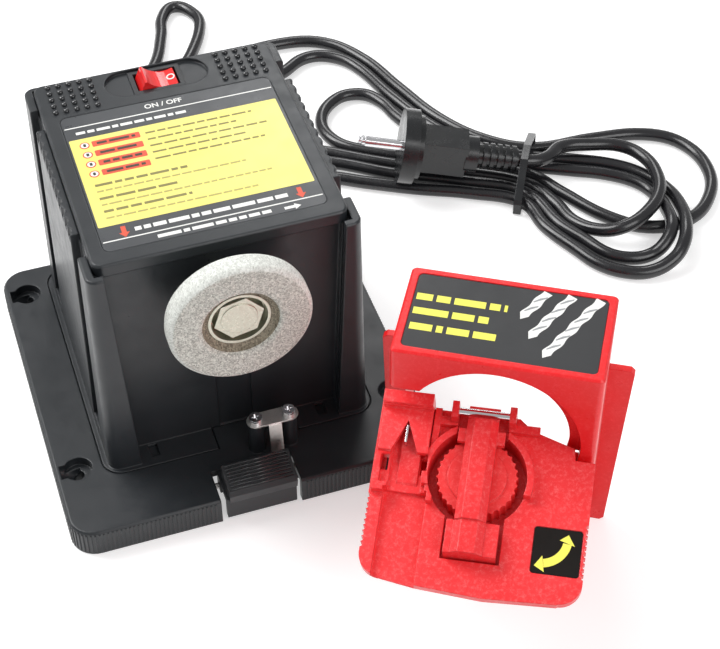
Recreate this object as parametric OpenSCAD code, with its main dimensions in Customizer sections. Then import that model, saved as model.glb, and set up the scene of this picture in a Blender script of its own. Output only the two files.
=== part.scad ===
// Bench drill bit sharpener: a power unit with a front grinding wheel, and a lift-off drill module
// that stands beside it. The origin is the middle of the power unit's underside. X runs to the right,
// Y runs to the back and Z runs up.

/* [Base] */
// Width of the base
base_w = 150; // [140:1:180]
// Depth of the base
base_d = 154; // [148:1:190]
// Height of the deck above the bench
base_h = 12.5; // [11:0.5:16]
// Radius of the base's corners
base_r = 10; // [6:1:14]
// Thickness of the deck and the skirt
base_t = 3; // [2:0.5:4]
// Distance between the left and right bench holes
hole_pitch_x = 132; // [124:1:160]
// Distance between the front and rear bench holes
hole_pitch_y = 104; // [90:1:120]
// Diameter of the bench holes
hole_d = 4.5; // [3.5:0.1:6]

/* [Tower] */
// Width of the tower at its top
tower_w = 104; // [98:1:112]
// Depth of the tower
tower_d = 118; // [110:1:126]
// Height of the tower's posts above the bench
tower_h = 115; // [110:1:130]
// Widening of each side from top to foot
tower_draft = 2; // [0:0.5:3]
// Thickness of the tower's walls
tower_t = 2.5; // [2:0.25:3.5]
// Number of flutes on each side panel
flute_count = 22; // [10:2:26]
// Depth of the front panel behind the front posts
panel_setback = 9.5; // [9:0.5:12]

/* [Top cover] */
// Width of the top cover
cover_w = 97; // [92:0.5:100]
// Depth of the top cover
cover_d = 110; // [104:0.5:114]
// Height of the cover's face above the posts
cover_rise = 2.3; // [1:0.1:4]
// Width of the label
label_w = 85; // [60:1:90]
// Depth of the label
label_d = 80; // [60:1:84]

/* [Wheel and motor] */
// Outer diameter of the grinding wheel
wheel_d = 55; // [45:1:60]
// Thickness of the grinding wheel
wheel_t = 10; // [6:0.5:12]
// Diameter of the dish in the wheel's face
wheel_dish_d = 30; // [26:1:34]
// Height of the spindle above the bench
spindle_z = 92.8; // [91:0.1:93]
// Distance from the front panel to the wheel's back
wheel_standoff = 15; // [13:0.5:18]
// Diameter of the motor shaft
shaft_d = 5; // [4:0.5:6]
// Diameter of the motor can
motor_d = 41; // [36:1:42]
// Length of the motor can
motor_l = 62; // [50:1:72]
// Width of the hex head across its flats
hex_af = 17; // [14:0.5:18]

/* [Switch and latch] */
// Length of the switch bezel
switch_l = 21; // [18:0.5:24]
// Width of the switch bezel
switch_w = 15; // [13:0.5:16]
// Tilt of the rocker at rest
rocker_tilt = 16; // [8:1:17]
// Width of the latch tongue
latch_w = 28.4; // [24:0.2:32]
// Gap on each side of the latch tongue
latch_gap = 2.2; // [1:0.1:3]

/* [Drill module] */
// Width of the module's box
box_w = 74; // [70:1:78]
// Depth of the module's box
box_d = 42.5; // [40:0.5:45]
// Height of the module's label face
box_h = 116.5; // [114:0.5:122]
// Height of the module's rails
rail_h = 86; // [70:1:92]
// Thickness of the module's rails
rail_t = 3; // [2:0.25:3.5]
// Radius of the wheel opening
opening_r = 31.5; // [30:0.5:32]
// Tilt of the swing table
table_tilt = 20; // [15:1:24]
// Width of the swing table
table_w = 77.6; // [74:0.2:82]
// Thickness of the swing table
table_t = 4; // [3.6:0.2:4.6]
// Diameter of the clamp knob
knob_d = 29.6; // [24:0.2:31]
// Number of scallops on the clamp knob
knob_lobes = 32; // [16:1:36]
// Width of the clamp bar
bar_w = 11; // [8:0.5:12]
// Diameter of the clamp pin
clamp_pin_d = 2.8; // [2:0.1:4]
// Whether the module hangs in the power unit's slots
module_mounted = false; // [false, true]

/* [Cord] */
// Diameter of the cord
cord_d = 6.2; // [5:0.1:6.5]
// Diameter of the plug's flange
plug_flange_d = 35; // [34:1:38]

/* [Fits] */
// Radial clearance of a running fit
run_fit = 0.05; // [0.02:0.01:0.1]
// Gap between pieces that move past each other
gap = 0.3; // [0.25:0.05:0.5]

/* [Hidden] */
$fn = 64;
eps = 0.01;
hull_fn = 32;

// Colours
black = [0.05, 0.05, 0.055];
dark = [0.12, 0.12, 0.13];
red = [0.82, 0.05, 0.08];
steel = [0.72, 0.72, 0.74];
copper = [0.72, 0.42, 0.2];

// Places of the tower
tower_y = 10.5;
tower_front = tower_y - tower_d / 2;
tower_back = tower_y + tower_d / 2;
panel_y = tower_front + panel_setback;
foot_w = tower_w + 2 * tower_draft;
shelf_z = tower_h - 3;
post_depth = 15;
channel_l = 12.5;
channel_x = cover_w / 2 + 0.2;
channel_z = base_h + 6;
cover_y = tower_front + 5.3 + cover_d / 2;
cover_z = tower_h + cover_rise;
wall_x = channel_x - tower_t;
flange_margin = 2.2;
flange_r = 8;
flange_t = 1.4;
flange_gap = 0.4;
seam_left = -10;
seam_right = 23;
seam_y = panel_y;

// Slots for the module's rails, which widen upwards with the posts
lip_foot = 41.2;
lip_top = 45.4;
lip_t = 3;
slot_depth = 3.2;
slot_t = rail_t + 0.8;
slot_y = tower_front + lip_t;
lip_slope = (lip_top - lip_foot) / (tower_h - base_h);

// Places on the spindle
wheel_y = panel_y - wheel_standoff;
motor_front = panel_y + tower_t + gap;
motor_back = motor_front + motor_l;
cap_t = 5;
screw_reach = 43.5;
bearing_d = 16;
bearing_t = 5;
wheel_bore = 24;
hub_face = wheel_y - 1.2;

// Places on the deck
rocker_z = -2.6;
foot_x = 65;
foot_front = -64.5;
foot_rear = 39;
foot_d = 12;
foot_h = 2.5;
plug_roll = 39;
recess_d = 11.5;
recess_depth = 4;
spring_x = 11.5;
spring_y = -55;
spring_pitch = 13.6;
post_h = 15.5;
latch_y = -64;
latch_z = 6.4;
latch_back = -61.8;
latch_pin_d = 2.4;
pad_w = 27.6;
gland_x = 10;
gland_z = 20;
gland_d = 10;

// The module's place: beside the power unit, or down in its slots
module_at = [71, -base_d / 2 - 55.8, 0];
module_yaw = -30.7;
rail_my = box_d - 7;
overhang_z = tower_h + cover_rise + 0.6 - base_h;
mounted_at = [0, slot_y + slot_t / 2 - rail_my - rail_t / 2, base_h];
cover_front_my = cover_y - cover_d / 2 - 0.4 - mounted_at[1];
shelf_mz = shelf_z - base_h - 0.6;
side_t = 2.2;
rail_foot = 42.9;
opening_z = 80.3;
table_z = 77.5;
table_swing = 2.4;
pivot = [-27.35, -2];
trough_l = -35.1;
trough_r = -19.6;
trough_depth = 3;
table_l = trough_l - 5;
table_r = table_l + table_w;
knob_at = [-2.8, -16];
pocket_r = knob_d / 2 + 2.6;
pocket_floor = -7;
cup_t = 2;
pin_at = [6.5, 6];
bar_x = -3;
ear_t = 2.4;
ear_gap = 18;
shelf_h = -13;
shelf_t = 3;
pivot_d = 6;
knob_screw_d = 6;
nut_t = 2.4;

module in_module() {
    if (module_mounted)
        translate(mounted_at) children();
    else
        translate(module_at) rotate([0, 0, module_yaw]) children();
}

module on_shelf() {
    in_module() translate([0, 0, table_z]) rotate([table_tilt, 0, 0]) children();
}

module on_table() {
    on_shelf() translate(pivot) rotate([0, 0, table_swing]) translate(-pivot) children();
}

// A rectangle with round corners, centred
module round_rect(w, d, r) {
    square([w - 2 * r, d], center = true);
    square([w, d - 2 * r], center = true);
    for (x = [-1, 1], y = [-1, 1])
        translate([x * (w / 2 - r), y * (d / 2 - r)]) circle(r);
}

// A slab with round corners and a chamfered top edge
module slab(w, d, r, h, chamfer) {
    hull() {
        linear_extrude(h - chamfer) round_rect(w, d, r, $fn = hull_fn);
        linear_extrude(h) round_rect(w - 2 * chamfer, d - 2 * chamfer, r - chamfer, $fn = hull_fn);
    }
}

// A solid of revolution about an axis along Y: profile points are [radius, y]
module turned(profile) {
    rotate([-90, 0, 0]) rotate_extrude() polygon([for (q = profile) [q[0], q[1]]]);
}

// A cylinder along Y
module rod_y(d, y0, y1) {
    translate([0, y0, 0]) rotate([-90, 0, 0]) cylinder(d = d, h = y1 - y0);
}

// A cylinder along X
module rod_x(d, x0, x1) {
    translate([x0, 0, 0]) rotate([0, 90, 0]) cylinder(d = d, h = x1 - x0);
}

// A pan head with a cross recess, its underside at z = 0
module cross_head(d, h) {
    difference() {
        cylinder(d = d, h = h);
        for (a = [0, 90])
            rotate([0, 0, a]) translate([-d * 0.28, -d * 0.07, h * 0.45]) cube([d * 0.56, d * 0.14, h]);
    }
}

module at_holes() {
    for (x = [-1, 1], y = [-1, 1])
        translate([x * hole_pitch_x / 2, 9.2 + y * hole_pitch_y / 2, 0]) children();
}

module at_feet() {
    for (x = [-1, 1], y = [foot_front, foot_rear])
        translate([x * foot_x * base_w / 150, y, 0]) children();
}

module at_housing_screws() {
    for (x = [-1, 1], y = [-1, 1])
        translate([x * 42, tower_y + y * screw_reach, 0]) children();
}

module at_cover_screws() {
    for (x = [-1, 1], y = [-1, 1])
        translate([x * 40, cover_y + y * 42, 0]) children();
}

module at_motor_screws() {
    for (x = [-1, 1])
        translate([x * 14.5, 0, spindle_z]) children();
}

module at_spring_screws() {
    for (x = [-1, 1])
        translate([spring_x + x * spring_pitch / 2, spring_y, 0]) children();
}

// Outline of the tower's foot flange, which is cut back where the latch posts stand
module foot_flange(grow) {
    difference() {
        translate([0, tower_y])
            round_rect(foot_w + 2 * flange_margin + 2 * grow, tower_d + 2 * flange_margin + 2 * grow,
                       flange_r);
        translate([seam_left + grow, tower_front - 20])
            square([seam_right - seam_left - 2 * grow, seam_y - grow - tower_front + 20]);
    }
}

module base_plate() {
    color(black) difference() {
        union() {
            difference() {
                slab(base_w, base_d, base_r, base_h, 0.8);
                translate([0, 0, -eps]) linear_extrude(base_h - base_t + eps)
                    round_rect(base_w - 2 * base_t, base_d - 2 * base_t, base_r - base_t);
            }
            at_holes() cylinder(d = recess_d + 4, h = base_h - 1);
            at_feet() cylinder(d = foot_d + 3, h = base_h - 1);
            at_spring_screws() translate([0, 0, base_h - base_t]) cylinder(d = 6.5, h = base_t + post_h);
            at_housing_screws() translate([0, 0, 6.5]) cylinder(d = 8, h = base_h - 7.5);
            for (x = [-1, 1])
                translate([x * (latch_w / 2 + latch_gap + 2), latch_y, latch_z])
                    cube([4, 7, 7.6], center = true);
        }
        at_holes() {
            translate([0, 0, -eps]) cylinder(d = hole_d, h = base_h + 1);
            translate([0, 0, base_h - recess_depth]) cylinder(d = recess_d, h = base_h);
        }
        for (x = [-1, 1], y = [-1, 1])
            translate([x * hole_pitch_x / 2, 9.2 + y * hole_pitch_y / 2, base_h - recess_depth])
                rotate([0, x * 58, 0]) translate([0, 0, -1]) cylinder(d = 7, h = 9);
        at_feet() translate([0, 0, -eps]) cylinder(d = foot_d, h = foot_h + eps);
        at_spring_screws() translate([0, 0, base_h + 4]) cylinder(d = 2.6, h = post_h);
        translate([0, 0, base_h - flange_t]) linear_extrude(base_h) foot_flange(flange_gap / 2);
        translate([0, tower_y, -eps]) linear_extrude(base_h + 1)
            round_rect(foot_w - 12, tower_d - 44, 4);
        at_housing_screws() translate([0, 0, -eps]) cylinder(d = 3.6, h = base_h);
        translate([-latch_w / 2 - latch_gap, -base_d / 2 - 1, -eps])
            cube([latch_w + 2 * latch_gap, base_d / 2 + latch_back + gap + 1, base_h + 1]);
        translate([0, latch_y, latch_z])
            rod_x(latch_pin_d, -latch_w / 2 - latch_gap - 3.6, latch_w / 2 + latch_gap + 3.6);
    }
}

module bottom_cover() {
    color(dark) difference() {
        translate([0, tower_y, 4.5]) linear_extrude(2) round_rect(foot_w - 4, tower_d - 4, 4);
        at_housing_screws() translate([0, 0, 4]) cylinder(d = 3.6, h = 3);
        for (x = [-24 : 8 : 24])
            translate([x - 1.5, tower_y - 25, 4]) cube([3, 50, 3]);
    }
}

module rubber_feet() {
    color(dark) at_feet() cylinder(d = foot_d - 0.2, h = foot_h);
}

// The tapered outline of the front opening between the posts, seen from the front
module slot_outline(grow) {
    foot = lip_foot + grow;
    head = lip_foot + grow + lip_slope * (tower_h + 1 - base_h);
    rotate([90, 0, 0]) linear_extrude(slot_t)
        polygon([[-foot, base_h - eps], [foot, base_h - eps], [head, tower_h + 1], [-head, tower_h + 1]]);
}

module tower_housing() {
    flute_pitch = (tower_d - 2 * post_depth - 2 * channel_l) / flute_count;
    color(black) difference() {
        union() {
            hull() {
                translate([0, tower_y, base_h - eps]) linear_extrude(eps)
                    round_rect(foot_w, tower_d, 5, $fn = hull_fn);
                translate([0, tower_y, tower_h - 0.6]) linear_extrude(eps)
                    round_rect(tower_w, tower_d, 4, $fn = hull_fn);
                translate([0, tower_y, tower_h - eps]) linear_extrude(eps)
                    round_rect(tower_w - 1.2, tower_d - 1.2, 3.4, $fn = hull_fn);
            }
            translate([0, 0, base_h - flange_t]) linear_extrude(flange_t) foot_flange(-flange_gap / 2);
        }
        // cavity for the motor
        translate([-wall_x, panel_y + tower_t, base_h - flange_t - eps])
            cube([2 * wall_x, tower_back - tower_t - panel_y - tower_t, tower_h]);
        // seat of the top cover
        translate([-channel_x, tower_front + 5.1, shelf_z])
            cube([2 * channel_x, cover_d + 0.4, tower_h]);
        // front opening and the slots for the module's rails
        translate([0, tower_front + slot_t - 0.5, 0]) slot_outline(0);
        translate([0, tower_front + lip_t + slot_t, 0]) slot_outline(slot_depth);
        translate([0, panel_y, 0]) slot_outline(0.6);
        // open channels in both sides
        for (x = [0, 1], y = [tower_front + post_depth, tower_back - post_depth - channel_l])
            mirror([x, 0, 0]) translate([channel_x, y, channel_z]) cube([10, channel_l, tower_h]);
        // flutes of the side panels
        for (x = [0, 1], i = [0 : flute_count - 1])
            mirror([x, 0, 0])
                translate([foot_w / 2 + 1.2, tower_front + post_depth + channel_l + (i + 0.5) * flute_pitch,
                           base_h + 3])
                    rotate([0, -atan(tower_draft / (tower_h - base_h)), 0])
                        cylinder(d = flute_pitch * 0.9, h = tower_h, $fn = 32);
        // scallops along the top of the side panels
        for (x = [0, 1], i = [0 : flute_count / 2 - 1])
            mirror([x, 0, 0])
                translate([tower_w / 2 + 1, tower_front + post_depth + channel_l + (2 * i + 1) * flute_pitch,
                           tower_h - 4])
                    cylinder(d = flute_pitch * 1.6, h = 10, $fn = 32);
        // shallow chute below the wheel
        translate([-6.4, panel_y - eps, base_h]) cube([14, 1, 60]);
        // hole for the spindle, and the motor's screw holes
        translate([0, 0, spindle_z]) rod_y(18, panel_y - 1, panel_y + tower_t + 1);
        at_motor_screws() rod_y(3.4, panel_y - 1, panel_y + tower_t + 1);
        // hooks' notches in the foot flange
        for (x = [-1, 1])
            translate([x * 35 - 1.75, panel_y - 7, 0]) cube([3.5, 6, base_h + 1]);
        // cord hole and rear vents
        translate([gland_x, 0, gland_z]) rod_y(gland_d, tower_back - tower_t - 1, tower_back + 1);
        for (i = [0 : 6])
            translate([-33 + 11 * i - 1.5, tower_back - tower_t - 1, 45]) cube([3, 5, 45]);
    }
    color(black) difference() {
        union() {
            at_housing_screws() translate([0, 0, base_h - flange_t + 0.1]) cylinder(d = 7, h = 12);
            at_cover_screws() translate([0, 0, shelf_z - 30.3]) cylinder(d = 6.5, h = 30);
            for (x = [0, 1]) mirror([x, 0, 0]) {
                for (y = [-1, 1]) {
                    translate([42, tower_y + y * screw_reach - 1, base_h - flange_t + 0.1])
                        cube([wall_x - 41.9, 2, 12]);
                    translate([40, cover_y + y * 42 - 1, shelf_z - 30.3]) cube([wall_x - 39.9, 2, 30]);
                }
            }
        }
        at_housing_screws() translate([0, 0, base_h - flange_t]) cylinder(d = 2.6, h = 10);
        at_cover_screws() translate([0, 0, shelf_z - 12]) cylinder(d = 2.6, h = 14);
    }
}

module top_cover() {
    dish_y = cover_y + cover_d / 2 - 9.5;
    color(black) {
        difference() {
            translate([0, cover_y, shelf_z]) slab(cover_w, cover_d, 4, cover_z - shelf_z, 0.7);
            translate([0, cover_y, shelf_z - eps]) linear_extrude(cover_z - shelf_z - 2.8)
                round_rect(cover_w - 5, cover_d - 5, 3);
            translate([0, cover_y - cover_d / 2 + 6.7 + label_d / 2, cover_z - 0.4]) linear_extrude(2)
                round_rect(label_w, label_d, 3);
            translate([0, dish_y, cover_z - 1.4]) linear_extrude(3) round_rect(42, 16.4, 8.19);
            translate([0, dish_y, shelf_z - 1])
                linear_extrude(9) square([switch_l - 2 + 0.2, switch_w - 2 + 0.2], center = true);
            at_cover_screws() translate([0, 0, shelf_z - 1]) cylinder(d = 3.4, h = 3);
        }
        for (s = [-1, 1], i = [0 : 4], j = [0 : 4])
            translate([s * 34.4 + (i - 2) * 4.2, dish_y - 1.6 + (j - 2) * 4.1, cover_z - 0.5])
                cylinder(d = 1.9, h = 1, $fn = 16);
    }
}

module rating_label() {
    color("khaki") translate([0, cover_y - cover_d / 2 + 6.7 + label_d / 2, cover_z - 0.4])
        linear_extrude(0.3) round_rect(label_w - 0.4, label_d - 0.4, 2.8);
}

module at_switch() {
    translate([0, cover_y + cover_d / 2 - 9.5, cover_z - 1.4]) children();
}

module switch_body() {
    color(dark) at_switch() difference() {
        union() {
            translate([-switch_l / 2, -switch_w / 2, 0]) cube([switch_l, switch_w, 0.6]);
            translate([-switch_l / 2 + 1, -switch_w / 2 + 1, -15]) cube([switch_l - 2, switch_w - 2, 15.01]);
            for (x = [-6, 0, 6])
                translate([x - 2.4, -0.4, -22]) cube([4.8, 0.8, 7.5]);
        }
        translate([-switch_l / 2 + 1.9, -switch_w / 2 + 1.9, -9]) cube([switch_l - 3.8, switch_w - 3.8, 12]);
        translate([0, 0, rocker_z]) rod_y(2 + 2 * run_fit, -switch_w / 2 + 0.5, switch_w / 2 - 0.5);
    }
}

module switch_rocker() {
    half = switch_l / 2 - 2.6;
    wide = switch_w - 4.4;
    crest = half - 1.5;
    color(red) at_switch() translate([0, 0, rocker_z]) {
        rotate([0, rocker_tilt, 0]) translate([0, wide / 2, 0]) rotate([90, 0, 0]) linear_extrude(wide)
            polygon([[-half, -1], [-half + 0.9, 4.6],
                     for (i = [-4 : 4]) [crest * i / 4, 2.9 + 2.1 * pow(i / 4, 2)],
                     [half - 0.9, 4.6], [half, -1], [3, -4], [-3, -4]]);
        rod_y(2, -switch_w / 2 + 1.2, switch_w / 2 - 1.2);
    }
}

module latch_lever() {
    front = -base_d / 2 - 0.3;
    color(black) {
        difference() {
            union() {
                translate([-latch_w / 2, front, 1.8]) cube([latch_w, 2.6, base_h - 1.8]);
                translate([-latch_w / 2, front, base_h - 2.6]) cube([latch_w, latch_back - front, 2.6]);
                translate([-latch_w / 2, latch_y - 2.2, latch_z - 2.2])
                    cube([latch_w, 4.4, base_h - latch_z + 2.2]);
                translate([-pad_w / 2 + 0.6, 0, 0]) rotate([90, 0, 90]) linear_extrude(pad_w)
                    polygon([[latch_y - 1.2, base_h - 1], [latch_y - 1.2, base_h + 7.4],
                             [latch_y - 2.2, base_h + 8], [front - 0.4, base_h + 4.8],
                             [front - 1.6, base_h + 3], [front - 0.6, base_h - 1.5], [front + 2, base_h - 1.5]]);
            }
            translate([0, latch_y, latch_z]) rod_x(latch_pin_d + 2 * run_fit, -latch_w / 2 - 1, latch_w / 2 + 1);
            for (i = [1 : 8])
                translate([-pad_w / 2 + 2, latch_y - 2.2 - i * 1.42, base_h + 8.1 - i * 0.3])
                    rotate([14, 0, 0]) translate([0, -0.3, -0.6]) cube([pad_w - 2.8, 0.6, 2]);
        }
    }
}

module latch_pivot_pin() {
    color(steel) translate([0, latch_y, latch_z])
        rod_x(latch_pin_d, -latch_w / 2 - latch_gap - 3.6, latch_w / 2 + latch_gap + 3.6);
}

module latch_spring() {
    top = base_h + post_h;
    reach = latch_back - 0.4;
    rest = base_h + 0.7;
    color(steel) {
        difference() {
            translate([spring_x, spring_y, top]) linear_extrude(0.8)
                round_rect(spring_pitch + 7.4, 7.4, 3.69);
            at_spring_screws() translate([0, 0, top - 1]) cylinder(d = 3.2, h = 3);
        }
        translate([spring_x - 2.6, 0, 0]) rotate([90, 0, 90]) linear_extrude(5.2)
            polygon([[spring_y - 2, top], [spring_y - 2, top + 0.8], [spring_y - 3.6, top + 0.8],
                     [spring_y - 4.3, top + 0.3], [reach + 0.6, rest + 0.8], [reach - 0.2, rest + 0.6],
                     [reach, rest], [reach + 0.9, rest], [spring_y - 3.7, top]]);
    }
}

module latch_spring_screws() {
    color(steel) at_spring_screws() translate([0, 0, base_h + post_h + 0.8]) {
        cross_head(5.4, 2);
        translate([0, 0, -9]) cylinder(d = 2.5, h = 9.1);
    }
}

module housing_screws() {
    color(steel) at_housing_screws() {
        translate([0, 0, 4.5]) mirror([0, 0, 1]) cross_head(6.4, 2.2);
        translate([0, 0, 4.4]) cylinder(d = 2.5, h = 13);
    }
}

module cover_screws() {
    color(steel) at_cover_screws() {
        translate([0, 0, shelf_z - 11]) cylinder(d = 2.5, h = 11.4);
        translate([0, 0, shelf_z]) cylinder(d = 5, h = 2);
    }
}

module motor_can() {
    color(steel) translate([0, 0, spindle_z]) difference() {
        union() {
            rod_y(motor_d, motor_front, motor_back);
            rod_y(17.6, panel_y - 1.2, motor_front + 1);
        }
        rod_y(motor_d - 3, motor_front + 2, motor_back + 1);
        rod_y(bearing_d, panel_y + 1, motor_front + 3);
        rod_y(9, panel_y - 2, panel_y + 2);
        for (x = [-1, 1]) translate([x * 14.5, 0, 0]) rod_y(2.6, motor_front - 1, motor_front + 3);
        for (a = [0 : 45 : 315]) rotate([0, a, 0]) translate([motor_d / 2 - 5, motor_back - 12, -2]) cube([8, 8, 4]);
    }
}

module motor_end_cap() {
    color(dark) translate([0, 0, spindle_z]) difference() {
        union() {
            rod_y(motor_d, motor_back, motor_back + cap_t);
            rod_y(motor_d - 3.1, motor_back - 3, motor_back + 1);
        }
        rod_y(bearing_d, motor_back - 4, motor_back + bearing_t - 2);
        rod_y(9, motor_back, motor_back + cap_t + 1);
        rod_y(motor_d - 8, motor_back - 4, motor_back - 0.5);
    }
    color(dark) translate([0, 0, spindle_z]) difference() {
        rod_y(bearing_d + 4, motor_back - 2, motor_back + 1);
        rod_y(bearing_d, motor_back - 4, motor_back + bearing_t - 2);
    }
}

module motor_magnets() {
    inner = motor_d - 11;
    color(dark) translate([0, 0, spindle_z]) for (s = [-1, 1]) intersection() {
        difference() {
            rod_y(motor_d - 3.1, motor_front + 10, motor_front + 42);
            rod_y(inner, motor_front + 9, motor_front + 43);
        }
        translate([s * motor_d / 2, motor_front + 26, 0]) cube([motor_d * 0.86, 40, motor_d * 0.7], center = true);
    }
}

module motor_armature() {
    core_d = motor_d - 12;
    color(copper) translate([0, 0, spindle_z]) difference() {
        union() {
            rod_y(core_d, motor_front + 11, motor_front + 41);
            rod_y(core_d - 7, motor_front + 8, motor_front + 44);
        }
        rod_y(shaft_d, motor_front, motor_back);
        for (i = [0 : 6]) rotate([0, i * 360 / 7, 0])
            translate([core_d / 2 - 3, motor_front + 10, -0.9]) cube([4, 32, 1.8]);
    }
}

module motor_commutator() {
    color(copper) translate([0, 0, spindle_z]) difference() {
        rod_y(13, motor_front + 45, motor_back - 5);
        rod_y(shaft_d, motor_front, motor_back);
        for (i = [0 : 6]) rotate([0, i * 360 / 7, 0])
            translate([5.5, motor_front + 44, -0.3]) cube([3, 20, 0.6]);
    }
}

module motor_brushes() {
    color(dark) translate([0, 0, spindle_z]) for (a = [0, 180]) rotate([0, a, 0])
        translate([13 / 2 + 0.3, motor_front + 47, -2.5]) cube([motor_d / 2 - 1.5 - 13 / 2 - 0.6, 5, 5]);
}

module motor_shaft() {
    color(steel) translate([0, 0, spindle_z]) rod_y(shaft_d, wheel_y + 0.6, motor_back + 14);
}

module front_bearing() {
    color(steel) translate([0, 0, spindle_z]) difference() {
        rod_y(bearing_d, panel_y + 1.2, panel_y + 1.2 + bearing_t);
        rod_y(shaft_d + 2 * run_fit, panel_y, motor_front + 20);
        for (y = [panel_y, panel_y + 0.7 + bearing_t]) difference() {
            rod_y(13, y, y + 1);
            rod_y(9, y - 1, y + 2);
        }
    }
}

module rear_bearing() {
    back = motor_back + bearing_t - 2;
    color(steel) translate([0, 0, spindle_z]) difference() {
        rod_y(bearing_d, back - bearing_t, back);
        rod_y(shaft_d + 2 * run_fit, back - bearing_t - 1, back + 1);
        for (y = [back - bearing_t - 0.5, back - 0.5]) difference() {
            rod_y(13, y, y + 1);
            rod_y(9, y - 1, y + 2);
        }
    }
}

module cooling_fan() {
    start = motor_back + cap_t + 1;
    color(dark) translate([0, 0, spindle_z]) {
        difference() {
            union() {
                rod_y(10, start, start + 8);
                rod_y(36, start + 6.6, start + 8);
                for (i = [0 : 8]) rotate([0, i * 40, 0]) translate([4, start, -0.6]) cube([13.5, 7, 1.2]);
            }
            rod_y(shaft_d, start - 1, start + 9);
        }
    }
}

module motor_screws() {
    color(steel) at_motor_screws() {
        rod_y(2.5, panel_y - 0.1, motor_front + 2);
        translate([0, panel_y, 0]) rotate([90, 0, 0]) cross_head(5.6, 2);
    }
}

module wheel_hub() {
    color(steel) translate([0, 0, spindle_z]) difference() {
        union() {
            turned([[0, hub_face], [wheel_bore / 2, hub_face], [wheel_bore / 2, wheel_y],
                    [wheel_bore / 2 + 2, wheel_y], [wheel_bore / 2 + 2, wheel_y + 2], [4.2, wheel_y + 2],
                    [4.2, panel_y - 1.6], [0, panel_y - 1.6]]);
            difference() {
                rod_y(wheel_bore, wheel_y - 6.8, hub_face + 0.2);
                rod_y(wheel_bore - 2.4, wheel_y - 8, hub_face);
            }
        }
        rod_y(shaft_d, wheel_y, panel_y);
    }
}

module grinding_wheel() {
    outer = wheel_d / 2;
    dish = wheel_dish_d / 2;
    face = wheel_y - wheel_t;
    color([0.72, 0.71, 0.68]) translate([0, 0, spindle_z])
        turned([[wheel_bore / 2, wheel_y], [outer - 0.6, wheel_y], [outer, wheel_y - 0.6],
                [outer, face + 2.2], [outer - 1.6, face], [dish + 1.2, face], [dish - 0.6, face + 1.4],
                [dish - 2, wheel_y - 6.6], [wheel_bore / 2, wheel_y - 6.6]]);
}

module wheel_bolt() {
    washer_t = 1;
    head_t = 4;
    front = hub_face - washer_t - head_t;
    color(steel) translate([0, 0, spindle_z]) {
        rod_y(hex_af / cos(30) + 0.8, hub_face - washer_t, hub_face);
        translate([0, hub_face - washer_t, 0]) rotate([90, 0, 0]) rotate([0, 0, 12])
            cylinder(d = hex_af / cos(30), h = head_t, $fn = 6);
        rod_y(hex_af - 3, front - 0.3, front + 0.1);
    }
}

module rectifier_board() {
    color("darkgreen") translate([-30, tower_back - 24, 30]) cube([44, 1.6, 30]);
    color(dark) translate([-20, tower_back - 27.9, 36]) cube([14, 4, 14]);
    color(black) for (x = [-24, 8]) translate([x, tower_back - 22.5, 33]) cube([4, 20, 4]);
}

module noise_capacitor() {
    color("steelblue") translate([-2, tower_back - 31, 38]) cube([8, 7, 14]);
}

module switch_leads() {
    color("brown") for (x = [-6, 0]) at_switch() translate([x, 0.4, -54.9]) {
        translate([0, 0.9, 0]) cylinder(d = 1.8, h = 36, $fn = 16);
    }
}

module cord_gland() {
    color(black) translate([gland_x, 0, gland_z]) difference() {
        union() {
            rod_y(gland_d - 0.1, tower_back - tower_t - 1, tower_back + 1);
            rod_y(14, tower_back, tower_back + 2);
            rod_y(9, tower_back + 1, tower_back + 16);
            rod_y(14, tower_back - tower_t - 3, tower_back - tower_t);
            for (i = [0 : 4]) rod_y(10.4, tower_back + 3.5 + 2.6 * i, tower_back + 4.9 + 2.6 * i);
        }
        rod_y(cord_d, tower_back + 6, tower_back + 17);
    }
}

// The tapered outline of the module's rails, seen from the front
module rail_outline() {
    foot = rail_foot;
    head = rail_foot + lip_slope * rail_h;
    polygon([[-foot, 1.5], [-foot + 1.5, 0], [foot - 1.5, 0], [foot, 1.5], [head, rail_h - 1.5],
             [head - 1.5, rail_h], [-head + 1.5, rail_h], [-head, rail_h - 1.5]]);
}

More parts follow.
